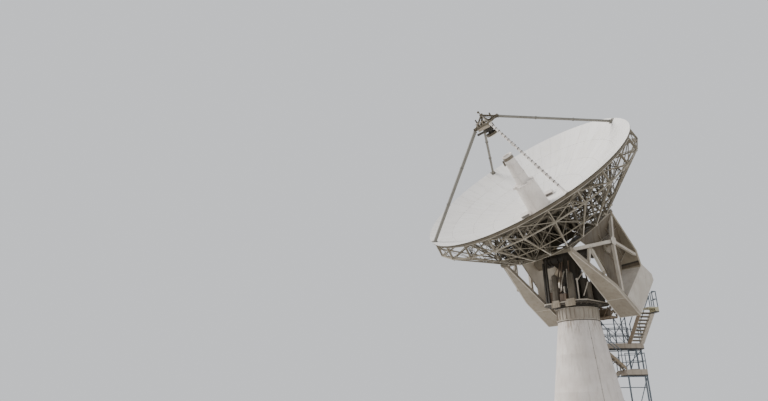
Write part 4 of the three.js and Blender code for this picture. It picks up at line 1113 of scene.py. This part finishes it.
def build_drive(name, x, y, radius, top_radius, height):
    """An upright gear motor: flanged foot, waisted housing with ribs, and a round cap."""
    drive = Solids()
    centre = Vector((x, y, DECK_TOP))
    waist = height * 0.4
    round_cap = 0.16
    cap = []
    for k in range(6):
        a = math.pi / 2 * k / 6
        cap.append((top_radius * math.cos(a), height - round_cap + round_cap * math.sin(a)))
    drive.lathe([
        (0, 0.001), (radius + 0.07, 0.001), (radius + 0.07, 0.05), (radius + 0.02, 0.09), (radius, 0.12),
        (radius * 0.93, waist), (radius, waist + 0.02), (radius, waist + 0.08), (radius * 0.9, waist + 0.1),
        (top_radius, height * 0.8), *cap, (0, height - 0.004)], 40, centre)
    for k in range(12):
        drive.bolt(centre + polar(radius + 0.045, 30 * k, 0.05), UP, 0.018, 0.02)
        along, side = bearing(30 * k + 15)
        foot = centre + UP * (waist + 0.15)
        head = foot + along * (top_radius + 0.005) + UP * height * 0.35
        drive.bar(foot + along * radius * 0.9, head, 0.012, 0.05, side)
    drive.finish(f"{name}_housing", "turret", "machine", "machine", [name])


def build_turret():
    for side, label in ((-1, "left"), (1, "right")):
        build_drive(f"azimuth_drive_{label}", side * 0.62, -1.29, 0.25, 0.19, 1.95)
        build_drive(f"elevation_drive_{label}", side * 1.23, -0.33, 0.27, 0.24, 1.33)

    yoke = Solids()
    axle = AXIS_Z
    yoke.lathe([
        (0, DECK_TOP + 0.001), (0.86, DECK_TOP + 0.001), (0.86, DECK_TOP + 0.05), (0.815, DECK_TOP + 0.06),
        (0.70, DECK_TOP + 1.4), (0.735, DECK_TOP + 1.41), (0.735, DECK_TOP + 1.48), (0.69, DECK_TOP + 1.5),
        (0.565, axle - 0.3), (0.5, axle), (0, axle)], 64)
    yoke.tube(Vector((-AXLE_HALF, 0, axle)), Vector((AXLE_HALF, 0, axle)), AXLE_RADIUS, sides=48)
    collars = ((AXLE_HALF - 0.26, AXLE_HALF - 0.02, 0.53), (AXLE_HALF - 0.5, AXLE_HALF - 0.46, 0.47),
        (0.8, 0.86, 0.5))
    for side in (-1, 1):
        for start, end, radius in collars:
            yoke.tube(Vector((side * start, 0, axle)), Vector((side * end, 0, axle)), radius, sides=48)
        yoke.plate([
            Vector((side * 0.3, -0.1, RING_Z + 2.3)), Vector((side * 1.7, -0.1, axle - 0.15)),
            Vector((side * 0.2, -0.1, axle - 0.15))], Vector((0, 0.2, 0)))
    for k in range(16):
        along, side = bearing(k * 22.5)
        yoke.bar(along * 0.8 + UP * (DECK_TOP + 0.05), along * 0.715 + UP * (DECK_TOP + 1.38), 0.016, 0.09,
            side)
    yoke.finish("turret_yoke_casting", "turret", "machine", "dark", ["turret_yoke"])

    extras = Solids()
    for x, y, sx, sy, height in (
        (-0.95, -1.1, 0.22, 0.2, 0.8), (0.0, -1.25, 0.24, 0.2, 0.55), (1.2, 0.55, 0.22, 0.35, 0.9),
        (-1.2, 0.6, 0.22, 0.3, 1.1), (0.2, 1.15, 0.45, 0.2, 0.7),
    ):
        low = on_deck(x - sx, y - sy)
        extras.box(low, low + Vector((2 * sx, 2 * sy, height)))
    for x, y, bend in ((-0.35, -0.98, 0.5), (0.3, -0.95, 0.4), (0.98, 0.2, 0.3), (-0.98, 0.1, 0.35),
            (-0.7, -0.8, 0.6)):
        reach = Vector((x, y, 0))
        extras.pipe([
            reach * 1.15 + UP * (DECK_TOP + 0.001), reach * 1.15 + UP * (DECK_TOP + 0.8),
            reach * 0.95 + UP * (DECK_TOP + 1.3 + bend), reach * 0.72 + UP * (axle - 0.5)], 0.045, 12)
    extras.paint = 1
    extras.box(on_deck(1.22, 0.05), on_deck(1.6, 0.95, 1.9))
    extras.box(on_deck(1.0, -0.75), on_deck(1.3, -0.35, 1.5))
    for x in (-1.34, -1.14):
        extras.bar(on_deck(x, -1.36), on_deck(x, -1.36, 2.85), 0.11, 0.13, UP.cross(ACROSS))
    for k in range(7):
        z = 0.2 + 0.42 * k
        extras.box(on_deck(-1.39, -1.35, z), on_deck(-1.09, -1.29, z + 0.16))
    extras.finish("turret_cabinets_and_pipes", "turret", "machine", "gearbox dark")

    pale = Solids()
    for x, y, height in ((0.98, -1.1, 1.35), (0.12, -1.35, 0.9), (-1.05, -1.2, 1.6)):
        pale.tube(on_deck(x, y), on_deck(x, y, height), 0.05, sides=14)
        pale.tube(on_deck(x, y, height), on_deck(x, y, height + 0.12), 0.075, sides=14)
    for start, end in (
        ((0.98, -1.0, 1.4), (1.2, -0.4, 2.1)), ((0.3, -1.2, 0.9), (0.1, -0.8, 2.3)),
        ((-0.3, -1.2, 1.0), (-0.1, -0.8, 2.2)), ((1.2, -0.9, 0.3), (1.45, -0.6, 1.2)),
    ):
        pale.tube(on_deck(*start), on_deck(*end), 0.04, sides=12)
    pale.finish("turret_pale_pipes", "turret", "machine", "flange")

    boxes = Solids()
    for x, width, drop in ((-0.42, 0.62, 0.34), (0.7, 0.7, 0.36)):
        left, right = x - width / 2, x + width / 2
        boxes.box(on_deck(left, -1.78, -drop), on_deck(right, -1.681, -0.02))
        boxes.box(on_deck(left + 0.06, -1.74, -0.02), on_deck(right - 0.06, -1.58, 0.1))
        for k in range(5):
            u = left + 0.06 + k * (width - 0.12) / 4
            boxes.box(on_deck(u - 0.012, -1.80, 0.03 - drop), on_deck(u + 0.012, -1.78, -0.05))
    boxes.finish("turret_edge_gearboxes", "turret", "machine", "beige")

    trim = Solids()
    half, corner = DECK_HALF, 0.4
    outline = []
    for sx, sy in ((1, 1), (-1, 1), (-1, -1), (1, -1)):
        ends = [(sx * half, sy * (half - corner)), (sx * (half - corner), sy * half)]
        outline += ends if sx * sy > 0 else ends[::-1]
    edge = [Vector((x, y, 0)) for x, y in outline]
    for at in spaced(edge, 0.25):
        trim.bolt(at * 0.965 + UP * DECK_TOP, UP, 0.022, 0.022)
        trim.bolt(at * 0.93 + UP * (DECK_TOP - 0.16), -UP, 0.022, 0.022)
    for degrees in range(0, 360, 15):
        trim.bar(*(polar(r, degrees, DECK_TOP - 0.175) for r in (1.33, 1.62)), 0.02, 0.03)
    trim.finish("turret_deck_bolts", "turret", "wing", "bolt")

    plate = Solids()
    plate.lathe([
        (0.9, RING_Z + 0.092), (1.33, RING_Z + 0.092), (1.35, RING_Z + 0.11), (1.35, RING_Z + 0.15),
        (1.3, RING_Z + 0.17),
        (1.3, RING_Z + 0.218), (0.9, RING_Z + 0.218)], 96)
    # The ring's dark paint is partly its own and partly painted shade in the gap under the deck.
    plate.finish("turntable_ring", "turret", "machine", "dark", ["turntable"])

    deck = Solids()
    shelf = RING_Z - 0.45
    rim = RING_Z + 0.225
    for k in range(13):
        x = -1.5 + k * 0.25
        deck.bar(Vector((x, 1.48, shelf + 0.012)), Vector((x, 2.26, shelf + 0.012)), 0.03, 0.022)
    for k in range(6):
        x = -1.5 + k * 0.5
        deck.bar(Vector((x, 1.5, shelf - 0.09)), Vector((x, 2.25, shelf - 0.09)), 0.06, 0.07)
        near, far = Vector((x, 2.25, shelf)), Vector((x + 0.5, 2.25, shelf))
        deck.beam(near, far + UP * (rim - shelf), angle_section(0.06))
        deck.bar(near, near + UP * (rim - shelf), 0.05)
        deck.beam(Vector((x, 1.5, shelf)), Vector((x + 0.4, 1.5, RING_Z + 0.15)), angle_section(0.06))
    for side in (-1, 1):
        x = side * 1.53
        deck.beam(Vector((x, 1.5, shelf)), Vector((x, 2.25, rim)), angle_section(0.07))
        deck.beam(Vector((x, 2.25, shelf)), Vector((x, 1.5, rim - 0.05)), angle_section(0.06))
        deck.bar(Vector((x, 1.5, shelf + 0.3)), Vector((x, 2.25, shelf + 0.3)), 0.05, 0.12)
    deck.bar(Vector((-1.53, 2.25, shelf - 0.03)), Vector((1.53, 2.25, shelf - 0.03)), 0.03, 0.16)
    deck.box((0.5, 1.75, shelf + 0.03), (1.2, 2.1, shelf + 0.55))
    deck.box((-1.0, 1.7, shelf + 0.03), (-0.5, 2.1, shelf + 0.45))
    deck.finish("turret_platform_grating", "turret", "stair", "stair")


# Stair


def build_stair():
    """Lips under the treads of each flight, and diagonals across the screen beside the upper flight."""
    treads = Solids(STAIR)
    lip, width = 0.07, 0.76
    under = 0.034 + lip / 2
    for foot, way, height, rise, run, steps in FLIGHTS.values():
        along = Vector((*way, 0))
        left = UP.cross(along)
        for i in range(steps - 1):
            for reach in (i + 0.05, i + 1):
                at = Vector((*foot, height + rise / steps * (i + 1) - under)) + along * (run / steps * reach)
                treads.bar(at + left * 0.042, at + left * (width - 0.042), 0.02, lip)
    # The lips take a dark paint as painted shade under the treads.
    treads.finish("tread_lips", "pedestal", "stair", "machine")

    screen = Solids(STAIR)
    y = 3.63
    for (x0, z0), (x1, z1) in (
        ((2.35, RING_Z - 0.35), (3.22, MID_LANDING_Z + 0.1)),
        ((3.24, RING_Z - 0.1), (4.03, MID_LANDING_Z + 0.1)),
        ((4.03, RING_Z - 0.1), (3.26, RING_Z - 1.2)),
    ):
        screen.bar(Vector((x0, y, z0)), Vector((x1, y, z1)), 0.05)
    screen.finish("stair_screen_diagonals", "pedestal", "stair", "rail")


# Pedestal


def build_pedestal():
    cone_bottom = BAND_RADIUS + CONE_SLOPE * BAND_BOTTOM
    radius_at = lambda z: BAND_RADIUS + CONE_SLOPE * (BAND_BOTTOM - z)
    cone = Solids()
    profile = [(cone_bottom - 0.12, FOOT_HEIGHT + 0.0005), (cone_bottom - 0.011, FOOT_HEIGHT + 0.0005)]
    for z in (2.3, 4.6):
        r = radius_at(z)
        profile += [(r, z - 0.012), (r + 0.002, z - 0.004), (r + 0.002, z + 0.004), (r, z + 0.012)]
    profile += [(BAND_RADIUS, BAND_BOTTOM - 0.0005), (BAND_RADIUS - 0.12, BAND_BOTTOM - 0.0005)]
    cone.lathe(profile, 128)
    cone.finish("pedestal_shell", "pedestal", "pedestal", "pedestal", ["pedestal_cone"])

    foot = Solids()
    foot.lathe([
        (0, 0), (cone_bottom + 0.11, 0), (cone_bottom + 0.11, FOOT_HEIGHT - 0.005),
        (cone_bottom + 0.1, FOOT_HEIGHT), (0, FOOT_HEIGHT)], 128)
    foot.bolt_ring(cone_bottom + 0.06, FOOT_HEIGHT, 60, 0.022, 0.03)
    foot.finish("pedestal_foot_ring", "pedestal", "pedestal", "band", ["pedestal_foot"])

    band = Solids()
    low, high = BAND_BOTTOM, RING_Z
    flange = BAND_RADIUS + 0.055
    inner = BAND_RADIUS - 0.12
    band.lathe([
        (inner, low), (flange, low), (flange, low + 0.03), (flange, low + 0.034), (flange, low + 0.07),
        (BAND_RADIUS, low + 0.07), (BAND_RADIUS, high - 0.06), (BEARING_RADIUS, high - 0.06),
        (BEARING_RADIUS, high), (inner, high)], 128)
    count = 28
    for k in range(count):
        along = polar(1, 360 * k / count, 0)
        side = polar(0.022, 360 * k / count + 90, 0)
        wall = along * (BAND_RADIUS - 0.01)
        foot, head = wall + UP * (low + 0.069), wall + UP * (high - 0.059)
        corners = [foot, foot + along * 0.058, head + along * 0.06, head]
        band.plate([corner - side / 2 for corner in corners], side)
    band.finish("pedestal_band_shell", "pedestal", "pedestal", "band", ["pedestal_band"])

    bolts = Solids()
    # Painted shade: a thin dark ring just under the band's flange.
    bolts.paint = 1
    bolts.lathe([
        (BAND_RADIUS - 0.002, low - 0.04), (BAND_RADIUS + 0.022, low - 0.04),
        (BAND_RADIUS + 0.03, low - 0.002),
        (BAND_RADIUS - 0.002, low - 0.002)], 96)
    bolts.paint = 0
    bolts.bolt_ring(BAND_RADIUS + 0.032, low + 0.07, 2 * count, 0.014, 0.022)
    for k in range(2 * count):
        bolts.bolt(polar(BAND_RADIUS + 0.032, 360 * (k + 0.5) / (2 * count), high - 0.06), -UP, 0.014, 0.022)
    seam = -32
    bolts.pipe([polar(radius_at(z) + 0.008, seam, z) for z in (0.1, 2.0, 4.0, BAND_BOTTOM - 0.02)], 0.011)
    for k in range(10):
        z = 0.6 + 0.62 * k
        at = polar(radius_at(z) + 0.01, seam, z)
        bolts.box(at - Vector((0.018, 0.018, 0.03)), at + Vector((0.018, 0.018, 0.03)))
    bolts.finish("pedestal_bolts_and_conduit", "pedestal", "pedestal", "bolt dark")

    ring = Solids()
    ring.lathe([
        (0.9, RING_Z + 0.001), (1.33, RING_Z + 0.001), (1.33, RING_Z + 0.03), (1.315, RING_Z + 0.045),
        (1.33, RING_Z + 0.06),
        (1.33, RING_Z + 0.089), (0.9, RING_Z + 0.089)], 96)
    ring.finish("azimuth_bearing_ring", "pedestal", "machine", "dark", ["azimuth_bearing"])


make_camera()
make_lights()
make_floor()
dress_cad_nodes()
build_reflector()
build_bracing()
build_hub_details()
build_tower()
build_vents()
build_legs()
build_apex()
build_wing_details(-1)
build_wing_details(1)
build_turret()
build_stair()
build_pedestal()
